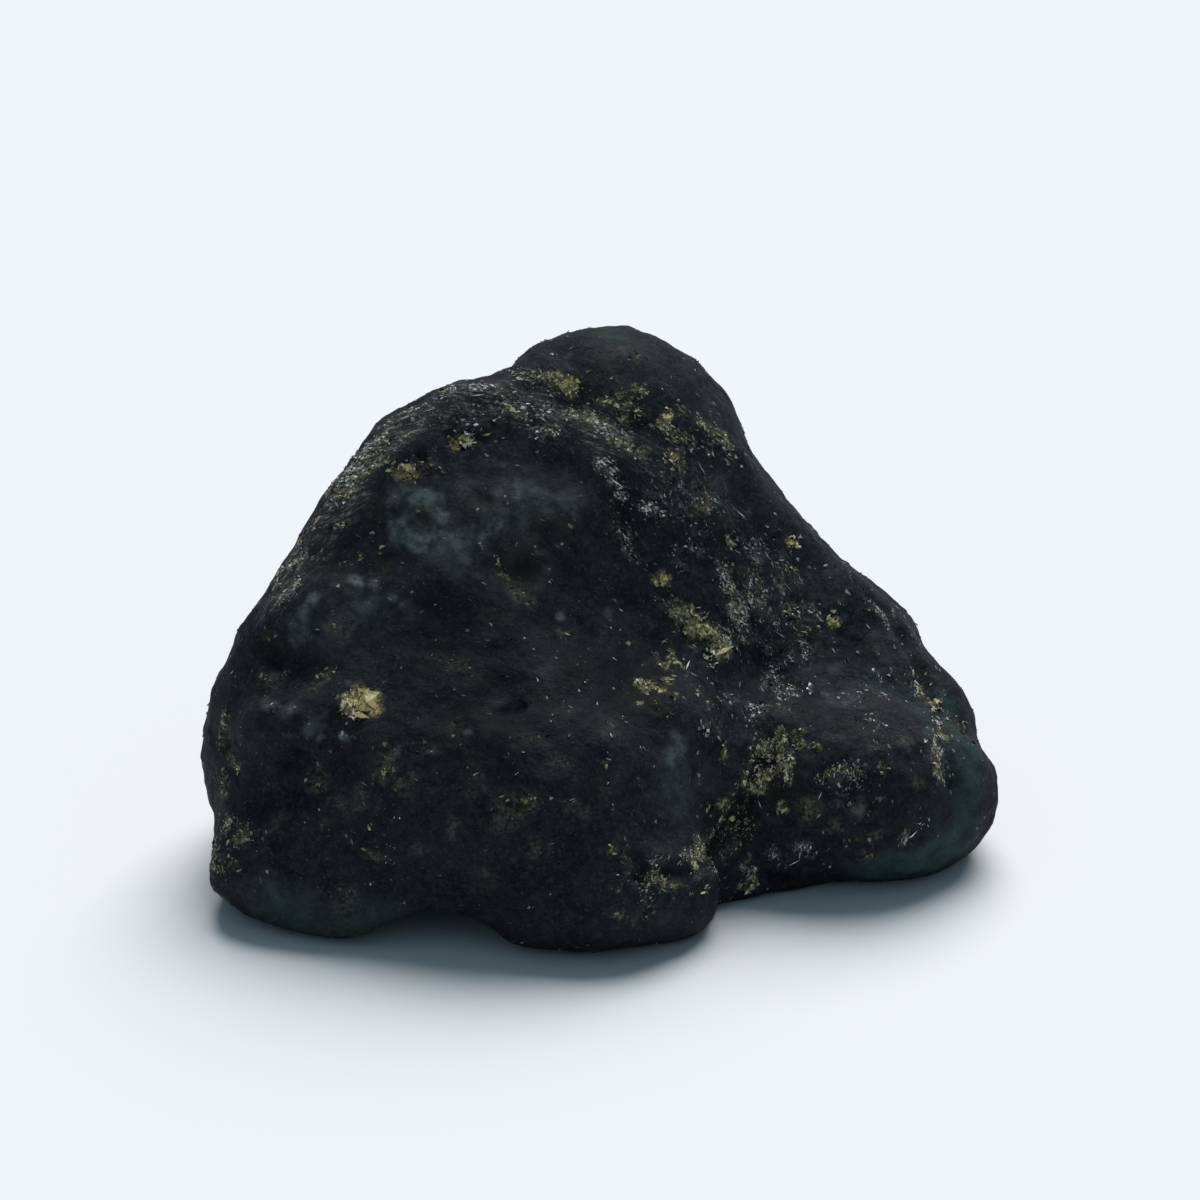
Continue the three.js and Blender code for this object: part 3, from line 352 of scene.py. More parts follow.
# ---- colours ----
TONES = {
    "blue_black": (0.0088, 0.0094, 0.0144),
    "slate": (0.013, 0.0164, 0.0206),
    "earth": (0.015, 0.0138, 0.0105),
    "mottle": (0.024, 0.029, 0.034),
    "grain": (0.11, 0.116, 0.116),
    "sheet": (0.054, 0.057, 0.055),
    "fuzz": (0.062, 0.058, 0.044),
    "blotch": (0.15, 0.138, 0.098),
    "dot": (0.05, 0.05, 0.046),
    # Painted glints: pale specks in the glint fields.
    "painted_glint": (0.22, 0.222, 0.21),
    # The stone's green, and a painted glow where thin edges let light through.
    "green_and_glow": (0.038, 0.067, 0.06),
    # Painted sheen: a pale bluish haze.
    "painted_sheen": (0.135, 0.163, 0.168),
    "brown": (0.034, 0.03, 0.018),
    # Painted shade for the hollows and the shaded spots.
    "hollow_shade": (0.004, 0.0044, 0.0066),
    "olive": (0.2, 0.182, 0.09),
    "pale_olive": (0.54, 0.49, 0.25),
    "ochre": (0.6, 0.52, 0.18),
    # Painted shadow in the gaps between mica crumbs.
    "crumb_shadow": (0.003, 0.003, 0.003),
    "edge": (0.28, 0.282, 0.255),
    "milk": (0.17, 0.2, 0.23),
    "cream": (0.76, 0.62, 0.3),
    "biotite": (0.025, 0.02, 0.01),
    "straw": (0.66, 0.6, 0.36),
    "bright_straw": (0.98, 0.94, 0.76),
    "flake_stain": (0.04, 0.036, 0.022),
    "ochre_tint": (1.02, 0.94, 0.56),
    "pearl": (0.55, 0.56, 0.53),
    "tan": (0.44, 0.37, 0.21),
    "dull_spark": (0.03, 0.033, 0.033),
    "bright_spark": (0.95, 0.96, 0.92),
    "floor": (0.83, 0.842, 0.852),
    "floor_cloud": (0.838, 0.85, 0.86),
}


# ---- noise over points, in millimetres ----
def hashed(cells, seed):
    """A number from 0 to 1 for each whole cell, the same each time."""
    # Multiplying by large odd numbers and shifting the product mixes its bits.
    cells = cells.astype(np.int64).astype(np.uint32)
    mixed = cells[..., 0] * 374761393 + cells[..., 1] * 668265263 + cells[..., 2] * 2147483647
    mixed = mixed + (seed * 2654435761) % 2**32
    mixed = (mixed ^ (mixed >> 13)) * 1274126177
    mixed = (mixed ^ (mixed >> 16)) * 2246822519
    return (mixed ^ (mixed >> 15)) / 2.0**32


def hashed_vector(cells, seed):
    """Three such numbers for each whole cell."""
    return np.stack([hashed(cells, seed + k) for k in (0, 101, 202)], axis=-1)


def corner_offsets(low, high):
    """Every whole (x, y, z) from low to high."""
    steps = np.arange(low, high + 1)
    return np.stack(np.meshgrid(steps, steps, steps, indexing="ij"), axis=-1).reshape(-1, 3)


def noise(points, size, seed):
    """Smooth gradient noise from about -1 to 1, with lumps of the given size."""
    scaled = points / size
    cells = np.floor(scaled)
    inside = scaled - cells
    fade = inside**3 * (inside * (inside * 6 - 15) + 10)
    total = np.zeros(len(points))
    for offset in corner_offsets(0, 1):
        slope = hashed_vector(cells + offset, seed) * 2 - 1
        weight = np.prod(np.where(offset == 1, fade, 1 - fade), axis=-1)
        total += weight * np.sum(slope * (inside - offset), axis=-1)
    return total * NOISE_GAIN


def nearest_cells(points, size, seed):
    """The distance to the nearest of the points strewn one to a cell."""
    scaled = points / size
    cells = np.floor(scaled)
    nearest = np.full(len(points), FAR)
    for offset in corner_offsets(-1, 1):
        corner = cells + offset
        seat = corner + hashed_vector(corner, seed)
        nearest = np.minimum(nearest, np.linalg.norm(seat - scaled, axis=-1))
    return nearest * size


def unit(vectors):
    return vectors / np.linalg.norm(vectors, axis=1, keepdims=True)


def smooth(low, high, values):
    """0 below low, 1 above high, and a smooth step between; low may be the greater."""
    t = np.clip((values - low) / (high - low), 0, 1)
    return t * t * (3 - 2 * t)


# ---- the stone's mesh ----
def in_scene(name, data):
    """A new object in the scene that holds this mesh, camera or light."""
    thing = bpy.data.objects.new(name, data)
    bpy.context.scene.collection.objects.link(thing)
    return thing


def refined_copy(source, name):
    """A finer copy of a node's mesh, rounded between the node's own points."""
    mesh = source.data.copy()
    draft = in_scene(name + "_draft", mesh)
    weld = draft.modifiers.new("weld", "WELD")
    weld.merge_threshold = WELD_REACH * MM
    rounding = draft.modifiers.new("rounding", "SUBSURF")
    rounding.levels = rounding.render_levels = ROUNDING_LEVELS
    evaluated = draft.evaluated_get(bpy.context.evaluated_depsgraph_get())
    fine = bpy.data.meshes.new_from_object(evaluated)
    fine.materials.clear()
    bpy.data.objects.remove(draft)
    bpy.data.meshes.remove(mesh)
    return in_scene(name, fine)


def vectors_of(rows, field):
    """One field of the mesh's vertices or their normals, as rows of three numbers."""
    values = np.empty(len(rows) * 3, dtype=np.float32)
    rows.foreach_get(field, values)
    return values.reshape(-1, 3).astype(float)


def write_layer(mesh, name, values):
    """Keeps a number for each vertex, which the materials read by its name."""
    layer = mesh.attributes.new(name, "FLOAT", "POINT")
    layer.data.foreach_set("value", values.astype(np.float32))


# ---- ways and places on the skin ----
def flake_way(points):
    """The way that the edges of the mica sheets run at each point."""
    return unit(np.cross(WRAP_AXIS, points - WRAP_CENTRE))


def streaked(points):
    """The points drawn together along the flakes' way, so that noise on them runs in streaks."""
    spread = points - WRAP_CENTRE
    out, side, depth = spread @ WRAP_UP, spread @ np.cross(WRAP_UP, WRAP_AXIS), spread @ WRAP_AXIS
    turned = STREAK_PULL * WRAP_REACH * np.arctan2(side, out)
    return np.stack([turned, np.hypot(out, side), depth], axis=1)


def frayed(points):
    """The points shifted a little by noise, so that patches drawn on them have ragged edges."""
    shifted = points
    for size, reach, seed in FRAYS:
        shift = np.stack([noise(points, size, seed + k) for k in range(3)], axis=1)
        shifted = shifted + reach * shift
    return shifted


def camera_axes():
    """The camera's place, and the ways that it sees as right, up and forward, in millimetres."""
    elevation = math.radians(CAMERA_ELEVATION)
    forward = Vector((0, math.cos(elevation), -math.sin(elevation)))
    up = Vector((0, math.sin(elevation), math.cos(elevation)))
    return Vector(CAMERA_TARGET) - forward * CAMERA_DISTANCE, Vector((1, 0, 0)), up, forward


def toward_camera():
    return -np.array(camera_axes()[3])


def on_front(tree, right, up):
    """The place on the skin that the camera sees so far right of its target and so far up."""
    origin, sideways, upward, _ = camera_axes()
    aim = Vector(CAMERA_TARGET) + sideways * right + upward * up
    hit = tree.ray_cast(origin * MM, (aim - origin).normalized())[0]
    place = hit or tree.find_nearest(aim * MM)[0]
    return np.array(place) / MM


def course_on_front(tree, course):
    """Places all along a course over the front."""
    trail = []
    for start, end in zip(course, course[1:]):
        leg = np.subtract(end, start)
        steps = max(int(math.hypot(*leg) / COURSE_STEP), 1)
        trail += [on_front(tree, *(start + k / steps * leg)) for k in range(steps)]
    return trail


def front_places(tree, entries):
    """Entries of right, up, radius and strength as place, radius and strength."""
    return [(on_front(tree, right, up), radius, strength)
            for right, up, radius, strength in entries]


def places_of(tree, kind):
    """Every (place, radius, strength) of one kind of marking."""
    places = front_places(tree, MARKS.get(kind, []))
    places += [((x, y, z), radius, strength)
               for x, y, z, radius, strength in BACK_MARKS.get(kind, [])]
    for stream_kind, radius, strength, course in STREAMS:
        if stream_kind == kind:
            places += [(place, radius, strength) for place in course_on_front(tree, course)]
    return places


def spot(distance, radius):
    return smooth(radius * 1.25, radius * 0.25, distance)


def ring(distance, radius):
    return smooth(0.4, 0.7, distance / radius) * smooth(1.15, 0.85, distance / radius)


def strongest(points, places, shape):
    """How strongly a list of (place, radius, strength) marks each point, from 0 to 1."""
    marked = np.zeros(len(points))
    for place, radius, strength in places:
        distance = np.linalg.norm(points - np.array(place), axis=1)
        marked = np.maximum(marked, strength * shape(distance, radius))
    return marked


# ---- the skin's relief and markings ----
class Skin:
    """The skin before it is worn, and shifted copies of its points to draw markings on.

    Each point's hidden is 1 where the skin is turned well away from the camera, and 0 in front.
    """

    def __init__(self, stone):
        self.points = vectors_of(stone.data.vertices, "co") / MM
        self.normals = vectors_of(stone.data.vertex_normals, "vector")
        self.tree = BVHTree.FromObject(stone, bpy.context.evaluated_depsgraph_get())
        self.hidden = smooth(0.1, -0.3, self.normals @ toward_camera())
        self.frayed = frayed(self.points)
        self.ragged = 0.45 * self.points + 0.55 * self.frayed
        self.steady = 0.8 * self.points + 0.2 * self.frayed
        self.streaks = streaked(self.steady)
        self.threads = self.streaks * (STREAK_PULL, 1, 1)


def patches(skin, kind, points):
    """How strongly one kind marks each point: its places, and noise on the hidden side."""
    marked = strongest(points, places_of(skin.tree, kind), spot)
    if kind in HIDDEN:
        size, low, high, area, seed, strength = HIDDEN[kind]
        veins = smooth(low, high, noise(skin.threads, size, seed))
        broken = smooth(-0.1, 0.4, noise(skin.points, area, seed + 1))
        marked = np.maximum(marked, strength * skin.hidden * veins * broken)
    return marked


def crease_profile(skin):
    """The depth of the creases at each point, and how near it lies to one, from 0 to 1."""
    points = skin.points
    depth = np.zeros(len(points))
    near = np.zeros(len(points))
    wander = sum(reach * noise(points, size, seed) for size, reach, seed in CREASE_WANDER)
    for width, deepest, course in CREASES:
        distance = np.full(len(points), FAR)
        for place in course_on_front(skin.tree, course):
            distance = np.minimum(distance, np.linalg.norm(points - place, axis=1))
        distance = np.abs(distance + wander * smooth(0, 1.5, distance) - 0.1)
        depth = np.maximum(depth, deepest * smooth(width, 0, distance))
        near = np.maximum(near, smooth(width * 1.9, width * 0.3, distance))
    spec = HIDDEN_CREASES
    seam = smooth(spec["width"], 0, np.abs(noise(skin.frayed, spec["size"], spec["seed"])))
    return np.maximum(depth, spec["depth"] * skin.hidden * seam), near


def crater_profile(skin):
    """The height of the pits and their slightly raised lips."""
    height = np.zeros(len(skin.ragged))
    for right, up, radius, depth in CRATERS:
        distance = np.linalg.norm(skin.ragged - on_front(skin.tree, right, up), axis=1) / radius
        height -= depth * smooth(1, 0.4, distance)
        height += 0.3 * depth * smooth(1.5, 1.1, distance) * smooth(0.8, 1.1, distance)
    return height


def relief_of(skin, crumbly, lines):
    """How far each point moves out, how deep in a hollow (painted shade), how near to a crease."""
    points = skin.points
    grain = sum(height * noise(points, size, seed) for size, height, seed in RELIEF)
    grain += (0.25 + crumbly) * GRAIN["height"] * noise(points, GRAIN["size"], GRAIN["seed"])
    ledge = 1 - np.abs(noise(points, LEDGES["size"], LEDGES["seed"]))
    ledges = LEDGES["height"] * (smooth(0.55, 1, ledge) - 0.4)
    grooves = lines * noise(skin.threads, GROOVES["size"], GROOVES["seed"]) * GROOVES["height"]
    nearest = nearest_cells(skin.frayed, PITS["size"], PITS["seed"])
    pitted = np.maximum(crumbly, 0.7 * smooth(0.0, 0.5, noise(points, 4.2, 33)))
    pits = PITS["depth"] * smooth(PITS["reach"], 0, nearest) * pitted
    crease, near_crease = crease_profile(skin)
    relief = grain + ledges - pits - crease + crater_profile(skin) + grooves

    # The feet keep their flats.
    settled = smooth(0.0, SETTLED_BELOW, points[:, 2])
    relief *= np.where(skin.normals[:, 2] < 0, settled, np.maximum(settled, 0.4))
    # Painted shade: the deeper a point lies below its grain, the darker the skin is painted there.
    hollow_shade = np.clip(-(relief - 0.5 * grain) / 0.4, 0, 1)
    return relief, hollow_shade, near_crease


def painted_sheen_on(skin, flecked, hollow_shade):
    """Spots, streams and rings of painted sheen, thinner in the shaded hollows."""
    rims = strongest(skin.ragged, front_places(skin.tree, PAINTED_SHEEN_RINGS), ring)
    ringed = rims * smooth(0.25, 0.6, flecked)
    painted_sheen = np.maximum(patches(skin, "painted_sheen", skin.ragged) * (0.4 + flecked), ringed)
    thick = 0.65 + 0.6 * smooth(-0.4, 0.5, noise(skin.points, 1.5, 76))
    return painted_sheen * ((1 - 0.7 * hollow_shade) * thick)


def marks_on(skin, mica, glints, lines, hollow_shade, near_crease):
    """How strongly each kind marks each point, broken up by finer noise."""
    coarse = 0.5 + 0.5 * noise(skin.streaks, 0.9, 71)
    fine = 0.5 + 0.5 * noise(skin.streaks, 0.45, 72)
    clots = smooth(0.40, 0.62, 0.5 * coarse + 0.5 * fine)
    flecked = 0.5 + 0.5 * noise(skin.points, 0.6, 74)
    scattered = smooth(0.1, 0.6, noise(skin.points, 3.2, 73)) * smooth(0.64, 0.8, flecked)
    mica = mica * (0.2 + 0.8 * clots)
    mica = np.maximum(mica, near_crease * smooth(0.5, 0.8, coarse) * 0.5)
    mica = np.maximum(mica, 0.3 * scattered)
    glints = np.maximum(glints, near_crease * 0.4) * (0.15 + 0.85 * clots)
    return {
        "mica": np.clip(mica, 0, 1),
        "glints": np.clip(glints, 0, 1),
        "painted_sheen": np.clip(painted_sheen_on(skin, flecked, hollow_shade), 0, 1),
        "ochre": patches(skin, "ochre", skin.ragged),
        "blotch": patches(skin, "blotch", skin.ragged) * (0.3 + flecked),
        "green_and_glow": patches(skin, "green_and_glow", skin.frayed),
        "brown": patches(skin, "brown", skin.ragged) * (0.4 + 0.9 * flecked),
        # Painted shade: the relief's hollows and the shaded spots listed on the front.
        "hollow_shade": np.maximum(hollow_shade, patches(skin, "dark", skin.ragged)),
        "pale": patches(skin, "pale", skin.steady) * (0.55 + 0.6 * fine),
        "cream": patches(skin, "cream", skin.ragged),
        "lines": lines,
    }


def wear_skin(stone, skin):
    """Moves the skin along its normals, above the floor, and writes each marking on it."""
    mesh = stone.data
    glints = patches(skin, "glints", skin.ragged)
    mica = patches(skin, "mica", skin.frayed)
    lines = patches(skin, "lines", skin.ragged)
    relief, hollow_shade, near_crease = relief_of(skin, np.maximum(glints, mica), lines)
    moved = skin.points + skin.normals * relief[:, None]
    moved[:, 2] = np.maximum(moved[:, 2], 0)
    mesh.vertices.foreach_set("co", (moved * MM).astype(np.float32).ravel())

    marks = marks_on(skin, mica, glints, lines, hollow_shade, near_crease)
    for name, values in marks.items():
        write_layer(mesh, name, values)
    threads = mesh.attributes.new("threads", "FLOAT_VECTOR", "POINT")
    threads.data.foreach_set("vector", skin.threads.astype(np.float32).ravel())
    mesh.polygons.foreach_set("use_smooth", np.ones(len(mesh.polygons), dtype=bool))
    mesh.update()
    return marks


# ---- loose mica on the skin ----
def seat_densities(skin, marks):
    """How thickly each strewn piece's shards lie at each point of the skin."""
    glints = marks["glints"] ** 1.5 + 0.006
    return {
        "mica_flakes": marks["mica"] ** 1.5 + 0.06 * marks["blotch"] + 0.0005,
        "pale_sparks": glints,
        "mica_crumbs": patches(skin, "clumps", skin.points),
        "pale_dots": patches(skin, "dots", skin.points),
        "mica_needles": glints,
    }


def seats_on_skin(mesh, density, count, rng):
    """Random places on the skin, thick where the density is high: place, normal and corners."""
    corners = np.empty(len(mesh.loops), dtype=np.int32)
    mesh.loops.foreach_get("vertex_index", corners)
    corners = corners.reshape(-1, 4)
    quads = (vectors_of(mesh.vertices, "co") / MM)[corners]
    cross = np.cross(quads[:, 2] - quads[:, 0], quads[:, 3] - quads[:, 1])
    area = np.linalg.norm(cross, axis=1)
    weight = area * density[corners].mean(axis=1)
    chosen = rng.choice(len(quads), size=count, p=weight / weight.sum())
    s, t = rng.random((2, count, 1))
    a, b, c, d = (quads[chosen, k] for k in range(4))
    seats = (a * (1 - s) + b * s) * (1 - t) + (d * (1 - s) + c * s) * t
    return seats, cross[chosen] / area[chosen, None], corners[chosen]


def shard_corners(seats, normals, spec, rng):
    """Four corners for each shard: three sunk a little in the skin and one that stands out."""
    # The powers of the random numbers make small leans and short shards the most common.
    count = len(seats)
    lean = np.tan(np.radians(spec["tilt"])) * rng.random((count, 1)) ** 1.5
    up = unit(normals + lean * unit(rng.normal(size=(count, 3))) + spec["lift"] * SKYWARD)
    streak = spec["aligned"] * flake_way(seats) + unit(rng.normal(size=(count, 3)))
    across = unit(np.cross(up, streak))
    along = np.cross(across, up)
    low, high = spec["size"]
    narrow, wide = spec["slender"]
    length = (low + (high - low) * rng.random((count, 1)) ** 2) / 2
    width = length * (narrow + (wide - narrow) * rng.random((count, 1)))
    slide = length * (rng.random((count, 1)) - 0.5)
    rise = spec["thickness"] * (0.5 + rng.random((count, 1)))
    sunk = seats - normals * spec["thickness"] * SUNK_SHARE
    corners = np.stack([
        sunk - along * length,
        sunk + along * length,
        sunk + across * width + along * slide,
        sunk - across * width * SHORT_SIDE + up * rise - along * slide,
    ], axis=1)
    corners[:, :, 2] = np.maximum(corners[:, :, 2], SHARD_CLEARANCE)
    return corners


def shard_piece(name, corners, shades, finish):
    """One mesh of closed four-cornered shards, each with its own shades."""
    faces = np.array(SHARD_FACES)[None] + 4 * np.arange(len(corners))[:, None, None]
    shards = bpy.data.meshes.new(name)
    shards.from_pydata((corners.reshape(-1, 3) * MM).tolist(), [], faces.reshape(-1, 3).tolist())
    for label, values in shades.items():
        write_layer(shards, label, np.repeat(values, 4))
    shards.materials.append(finish)
    return in_scene(name, shards)


def strew_shards(name, mesh, density, ochre, spec, finish):
    """A piece of small shards, tilted every way, that take their shades from where they lie."""
    rng = np.random.default_rng(spec["seed"])
    seats, normals, face = seats_on_skin(mesh, density, spec["count"], rng)
    corners = shard_corners(seats, normals, spec, rng)
    crowd = 0.4 + 0.6 * smooth(0, 0.5, density[face].mean(axis=1))
    shades = {
        "tone": rng.random(len(seats)) ** spec["bias"] * crowd,
        "ochre": ochre[face].mean(axis=1),
    }
    return shard_piece(name, corners, shades, finish)


def lay_shards(name, tree, courses, tone, ochre, finish):
    """A piece of shards that lie on the front, each from one end to the other."""
    toward = toward_camera()
    corners = []
    for start, end, width in courses:
        a, b = on_front(tree, *start), on_front(tree, *end)
        across = np.cross(b - a, toward)
        across *= width / 2 / np.linalg.norm(across)
        middle = (a + b) / 2
        rise = (LAID_RISE + LAID_BULGE * width) * toward
        corners.append([a, b, middle + across, middle - LAID_SHORT_SIDE * across + rise])
    shades = {"tone": np.full(len(corners), tone), "ochre": np.full(len(corners), ochre)}
    return shard_piece(name, np.array(corners), shades, finish)


# ---- materials ----
class Nodes:
    """A material's node tree, with short calls for the nodes that the looks use."""

    def __init__(self, name):
        self.material = bpy.data.materials.new(name)
        self.material.use_nodes = True
        self.tree = self.material.node_tree
        self.shader = self.tree.nodes["Principled BSDF"]
        self.where = self.tree.nodes.new("ShaderNodeTexCoord").outputs["Object"]

    def link(self, value, socket):
        if isinstance(value, bpy.types.NodeSocket):
            self.tree.links.new(value, socket)
        else:
            socket.default_value = value

    def fill(self, node, inputs):
        for name, value in inputs.items():
            self.link(value, node.inputs[name])
        return node

    def node(self, kind, inputs):
        return self.fill(self.tree.nodes.new("ShaderNode" + kind), inputs)

    def finish(self, inputs):
        """The material, once its shader's inputs are linked or set."""
        self.fill(self.shader, inputs)
        return self.material

    def mark(self, name, output="Fac"):
        """What the mesh keeps for each vertex under this name."""
        node = self.node("Attribute", {})
        node.attribute_name = name
        return node.outputs[output]

    def noise_on(self, where, scale, detail, roughness):
        inputs = {"Vector": where, "Scale": scale, "Detail": detail, "Roughness": roughness}
        return self.node("TexNoise", inputs).outputs["Fac"]

    def noise(self, size, detail=3, roughness=0.55):
        """Noise with lumps of the given size in millimetres."""
        return self.noise_on(self.where, 1 / (size * MM), detail, roughness)

    def cells(self, size, output="Distance"):
        """Cells of the given size: the distance to a cell's middle, or a colour for each cell."""
        inputs = {"Vector": self.where, "Scale": 1 / (size * MM)}
        return self.node("TexVoronoi", inputs).outputs[output]

    def ramp(self, value, low, high, out_low=0.0, out_high=1.0):
        """A smooth step from out_low at low to out_high at high."""
        node = self.node("MapRange", {"Value": value, "From Min": low, "From Max": high,
                                      "To Min": out_low, "To Max": out_high})
        node.interpolation_type = "SMOOTHSTEP"
        return node.outputs["Result"]

    def math(self, operation, a, b):
        node = self.node("Math", {0: a, 1: b})
        node.operation = operation
        return node.outputs["Value"]

    def times(self, a, b):
        return self.math("MULTIPLY", a, b)

    def mix(self, amount, a, b, blend="MIX"):
        """From a to b by the amount; each is the name of a tone or a node's colour."""
        node = self.node("Mix", {"Factor": amount})
        node.data_type = "RGBA"
        node.blend_type = blend
        for value, socket in ((a, node.inputs[6]), (b, node.inputs[7])):
            self.link((*TONES[value], 1) if isinstance(value, str) else value, socket)
        return node.outputs[2]

    def veil(self, colour, tone, amount, share):
        """The colour under a veil of the tone, as thick as the amount times the share."""
        return self.mix(self.times(amount, share), colour, tone)

    def bump(self, height, distance, strength, below=None):
        inputs = {"Height": height, "Distance": distance * MM, "Strength": strength}
        if below is not None:
            inputs["Normal"] = below
        return self.node("Bump", inputs).outputs["Normal"]


def stone_ground(n, mottle):
    """Blue-black stone, clouded, mottled and grainy, and paler along the rim's mica sheets."""
    cloud = n.ramp(n.noise(2.6, 4), 0.38, 0.62)
    earth = n.ramp(n.noise(1.9, 4), 0.5, 0.66)
    grains = n.ramp(n.cells(0.34, "Color"), 0.35, 0.9)
    grainy = n.ramp(n.mark("glints"), 0, 0.6, 0.08, 0.55)
    fuzz = n.times(n.ramp(n.noise(1.0, 5, 0.65), 0.52, 0.7), n.ramp(n.noise(5, 2), 0.4, 0.6))
    colour = n.mix(cloud, "blue_black", "slate")
    colour = n.veil(colour, "earth", earth, 0.35)
    colour = n.veil(colour, "mottle", mottle, 0.4)
    colour = n.veil(colour, "grain", grains, grainy)
    colour = n.veil(colour, "sheet", n.mark("lines"), 0.6)
    return n.veil(colour, "fuzz", fuzz, 0.4)


def with_flecks(n, colour):
    """Tan blotches, small dots, and painted glints: pale specks where the glints lie."""
    fleck = n.ramp(n.noise(0.28, 4, 0.7), 0.42, 0.60, 0.05, 1.0)
    some = n.math("GREATER_THAN", n.cells(0.8, "Color"), 0.75)
    dots = n.times(n.ramp(n.cells(0.8), 0.3, 0.12), some)
    # Painted glints: pale specks where the glinting grains lie.
    painted_glints = n.ramp(n.noise(0.17, 3, 0.7), 0.5, 0.7)
    glint_share = n.ramp(n.mark("glints"), 0, 0.7, 0.10, 0.9)
    colour = n.veil(colour, "blotch", n.mark("blotch"), fleck)
    colour = n.veil(colour, "dot", dots, 0.4)
    return n.veil(colour, "painted_glint", painted_glints, glint_share)


def with_veils(n, colour):
    """Green tint and painted edge glow, painted sheen, brown stains and painted shade."""
    tinge = n.ramp(n.noise(0.9, 5, 0.65), 0.35, 0.65, 0.25, 0.85)
    sheen_breakup = n.ramp(n.noise(0.6, 5, 0.65), 0.36, 0.62, 0.25, 0.95)
    # The stone's green with a painted glow at thin edges.
    colour = n.veil(colour, "green_and_glow", n.mark("green_and_glow"), tinge)
    # Painted sheen: a pale bluish haze on the smooth bumps.
    colour = n.veil(colour, "painted_sheen", n.mark("painted_sheen"), sheen_breakup)
    colour = n.veil(colour, "brown", n.mark("brown"), 0.65)
    # Painted shade, near black, in the hollows and on the shaded spots.
    return n.veil(colour, "hollow_shade", n.mark("hollow_shade"), 0.72)


def with_mica(n, colour):
    """Crumbs of olive and ochre mica, and painted shadow in the gaps between them."""
    mica = n.mark("mica")
    crumbs = n.ramp(n.ramp(n.noise(0.24, 3, 0.7), 0.42, 0.62), 0, 1, 0.12, 0.95)
    olive = n.mix(n.ramp(n.noise(0.4, 3), 0.35, 0.65), "olive", "pale_olive")
    olive = n.veil(olive, "ochre", n.mark("ochre"), 0.7)
    crumb_shadows = n.ramp(n.noise(0.25, 3, 0.6), 0.44, 0.38, 0.0, 0.8)
    crumbled = n.math("MAXIMUM", mica, n.mark("glints"))
    colour = n.veil(colour, olive, n.ramp(mica, 0.1, 0.8), crumbs)
    return n.veil(colour, "crumb_shadow", crumbled, crumb_shadows)


def sheet_edges(n):
    """Thin broken lines that run the way the mica sheets do."""
    threads = n.noise_on(n.mark("threads", "Vector"), THREAD_SCALE, 3, 0.65)
    flaked = n.ramp(n.noise(0.22, 3, 0.7), 0.40, 0.58, 0.2, 1.0)
    thin = n.times(n.ramp(threads, 0.51, 0.62), flaked)
    return n.times(n.mark("lines"), thin)


def beryl_skin():
    n = Nodes("beryl_skin")
    mottle = n.ramp(n.noise(0.55, 5, 0.7), 0.42, 0.68)
    edges = sheet_edges(n)
    milk = n.ramp(n.noise(0.3, 3), 0.35, 0.6, 0.45, 1.0)
    curd = n.ramp(n.noise(0.24, 3, 0.7), 0.42, 0.58, 0.15, 1.0)
    colour = with_mica(n, with_veils(n, with_flecks(n, stone_ground(n, mottle))))
    colour = n.veil(colour, "edge", edges, 0.85)
    colour = n.veil(colour, "milk", n.mark("pale"), milk)
    colour = n.veil(colour, "cream", n.mark("cream"), curd)

    # The skin is a little smoother where the sheen is painted.
    polish = n.times(n.mark("painted_sheen"), -0.1)
    rough = n.math("ADD", n.ramp(mottle, 0, 1, 0.6, 0.75), polish)
    fine = n.bump(n.noise(0.16, 4, 0.6), 0.06, 0.9)
    grain = n.bump(n.noise(0.5, 4, 0.6), 0.09, 0.8, fine)
    crust = n.bump(n.cells(0.4), 0.05, 0.6, grain)
    return n.finish({"Base Color": colour, "Roughness": rough, "Specular IOR Level": 0.05,
                     "Normal": n.bump(edges, 0.05, 0.8, crust)})


def mica_flake():
    n = Nodes("mica_flake")
    tone = n.mark("tone")
    colour = n.mix(n.ramp(tone, 0.05, 0.7), "biotite", "straw")
    colour = n.mix(n.ramp(tone, 0.65, 1.0), colour, "bright_straw")
    colour = n.mix(n.ramp(n.noise(0.3, 2), 0.45, 0.7, 0.0, 0.6), colour, "flake_stain")
    colour = n.mix(n.mark("ochre"), colour, "ochre_tint", "MULTIPLY")
    rough = n.ramp(n.noise(0.1, 2), 0.3, 0.7, 0.3, 0.5)
    return n.finish({"Base Color": colour, "Roughness": rough, "Specular IOR Level": 0.6})


def pale_spark():
    n = Nodes("pale_spark")
    tone = n.mark("tone")
    body = n.mix(n.ramp(n.noise(1.1, 3), 0.46, 0.6), "pearl", "tan")
    colour = n.mix(n.ramp(tone, 0.05, 0.65), "dull_spark", body)
    colour = n.mix(n.ramp(tone, 0.65, 0.95), colour, "bright_spark")
    rough = n.ramp(n.noise(0.1, 2), 0.3, 0.7, 0.2, 0.4)
    return n.finish({"Base Color": colour, "Roughness": rough})


def studio_floor():
    n = Nodes("studio_floor")
    colour = n.mix(n.noise(40, 2), "floor", "floor_cloud")
    return n.finish({"Base Color": colour, "Roughness": 0.6, "Specular IOR Level": 0.2})


# ---- studio ----
def place_camera():
    place, _, _, forward = camera_axes()
    data = bpy.data.cameras.new("camera")
    data.lens = CAMERA_LENS
    data.sensor_width = CAMERA_SENSOR
    data.clip_start = CAMERA_CLIP * MM
    camera = in_scene("camera", data)
    camera.location = place * MM
    camera.rotation_euler = forward.to_track_quat("-Z", "Y").to_euler()
    bpy.context.scene.camera = camera


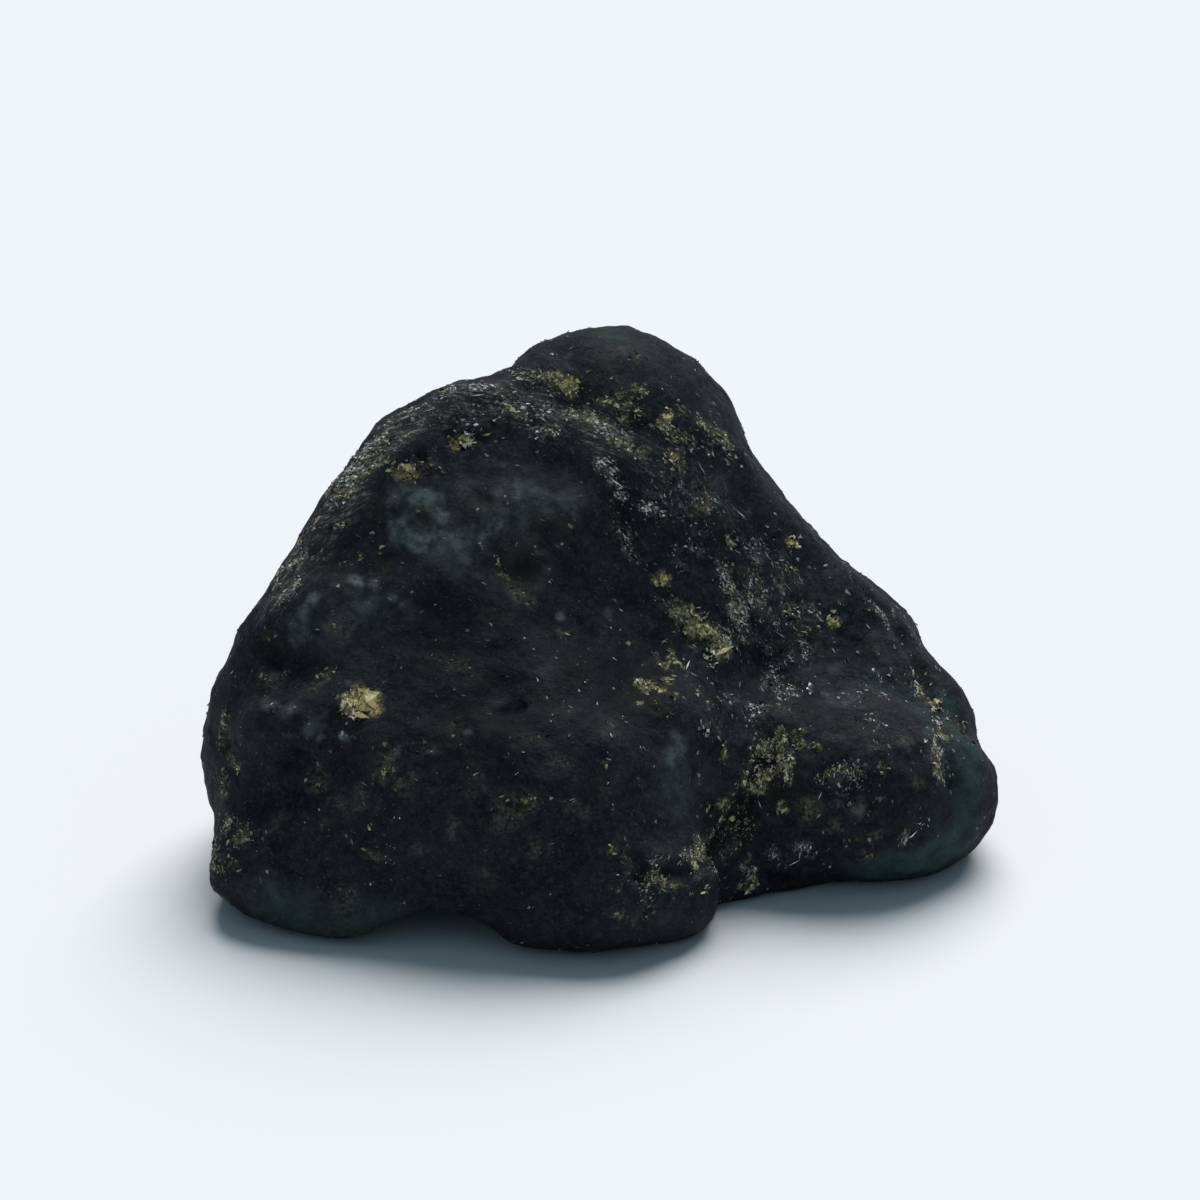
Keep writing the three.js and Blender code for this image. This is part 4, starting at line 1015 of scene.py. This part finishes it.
def light_studio():
    """A dim bluish sky all round, and one broad soft light from behind and above."""
    bpy.context.scene.view_settings.view_transform = "Standard"
    world = bpy.context.scene.world = bpy.data.worlds.new("studio")
    world.use_nodes = True
    back = world.node_tree.nodes["Background"]
    back.inputs["Color"].default_value = (*SKY["colour"], 1)
    back.inputs["Strength"].default_value = SKY["strength"]

    data = bpy.data.lights.new("overhead", "SUN")
    data.energy = OVERHEAD["power"]
    data.color = OVERHEAD["colour"]
    data.angle = math.radians(OVERHEAD_SPREAD)
    light = in_scene("overhead", data)
    light.rotation_euler = Vector(OVERHEAD["shines"]).to_track_quat("-Z", "Y").to_euler()


def lay_floor():
    half = FLOOR_HALF * MM
    mesh = bpy.data.meshes.new("floor")
    mesh.from_pydata([(-half, -half, 0), (half, -half, 0), (half, half, 0), (-half, half, 0)],
                     [], [(0, 1, 2, 3)])
    mesh.materials.append(studio_floor())
    in_scene("floor", mesh)


# ---- build ----
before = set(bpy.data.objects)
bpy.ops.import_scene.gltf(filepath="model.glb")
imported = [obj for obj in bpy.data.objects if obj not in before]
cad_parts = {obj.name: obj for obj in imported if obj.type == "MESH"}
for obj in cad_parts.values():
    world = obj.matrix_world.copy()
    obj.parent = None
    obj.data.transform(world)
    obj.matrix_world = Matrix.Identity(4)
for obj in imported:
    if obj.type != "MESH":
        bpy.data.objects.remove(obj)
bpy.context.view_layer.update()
place_camera()
light_studio()
lay_floor()

stone = refined_copy(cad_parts["rough_emerald"], "worn_stone")
skin = Skin(stone)
marks = wear_skin(stone, skin)
stone.data.materials.append(beryl_skin())

finishes = {"mica_flake": mica_flake(), "pale_spark": pale_spark()}
pieces = [stone]
for name, density in seat_densities(skin, marks).items():
    spec = dict(zip(STREWN_COLUMNS, STREWN[name]))
    finish = finishes[spec["finish"]]
    pieces.append(strew_shards(name, stone.data, density, marks["ochre"], spec, finish))
bpy.context.view_layer.update()
worn_tree = BVHTree.FromObject(stone, bpy.context.evaluated_depsgraph_get())
for name, (courses, tone, ochre, finish) in LAID.items():
    pieces.append(lay_shards(name, worn_tree, courses, tone, ochre, finishes[finish]))

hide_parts("rough_emerald")
for piece in pieces:
    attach(piece, "root")
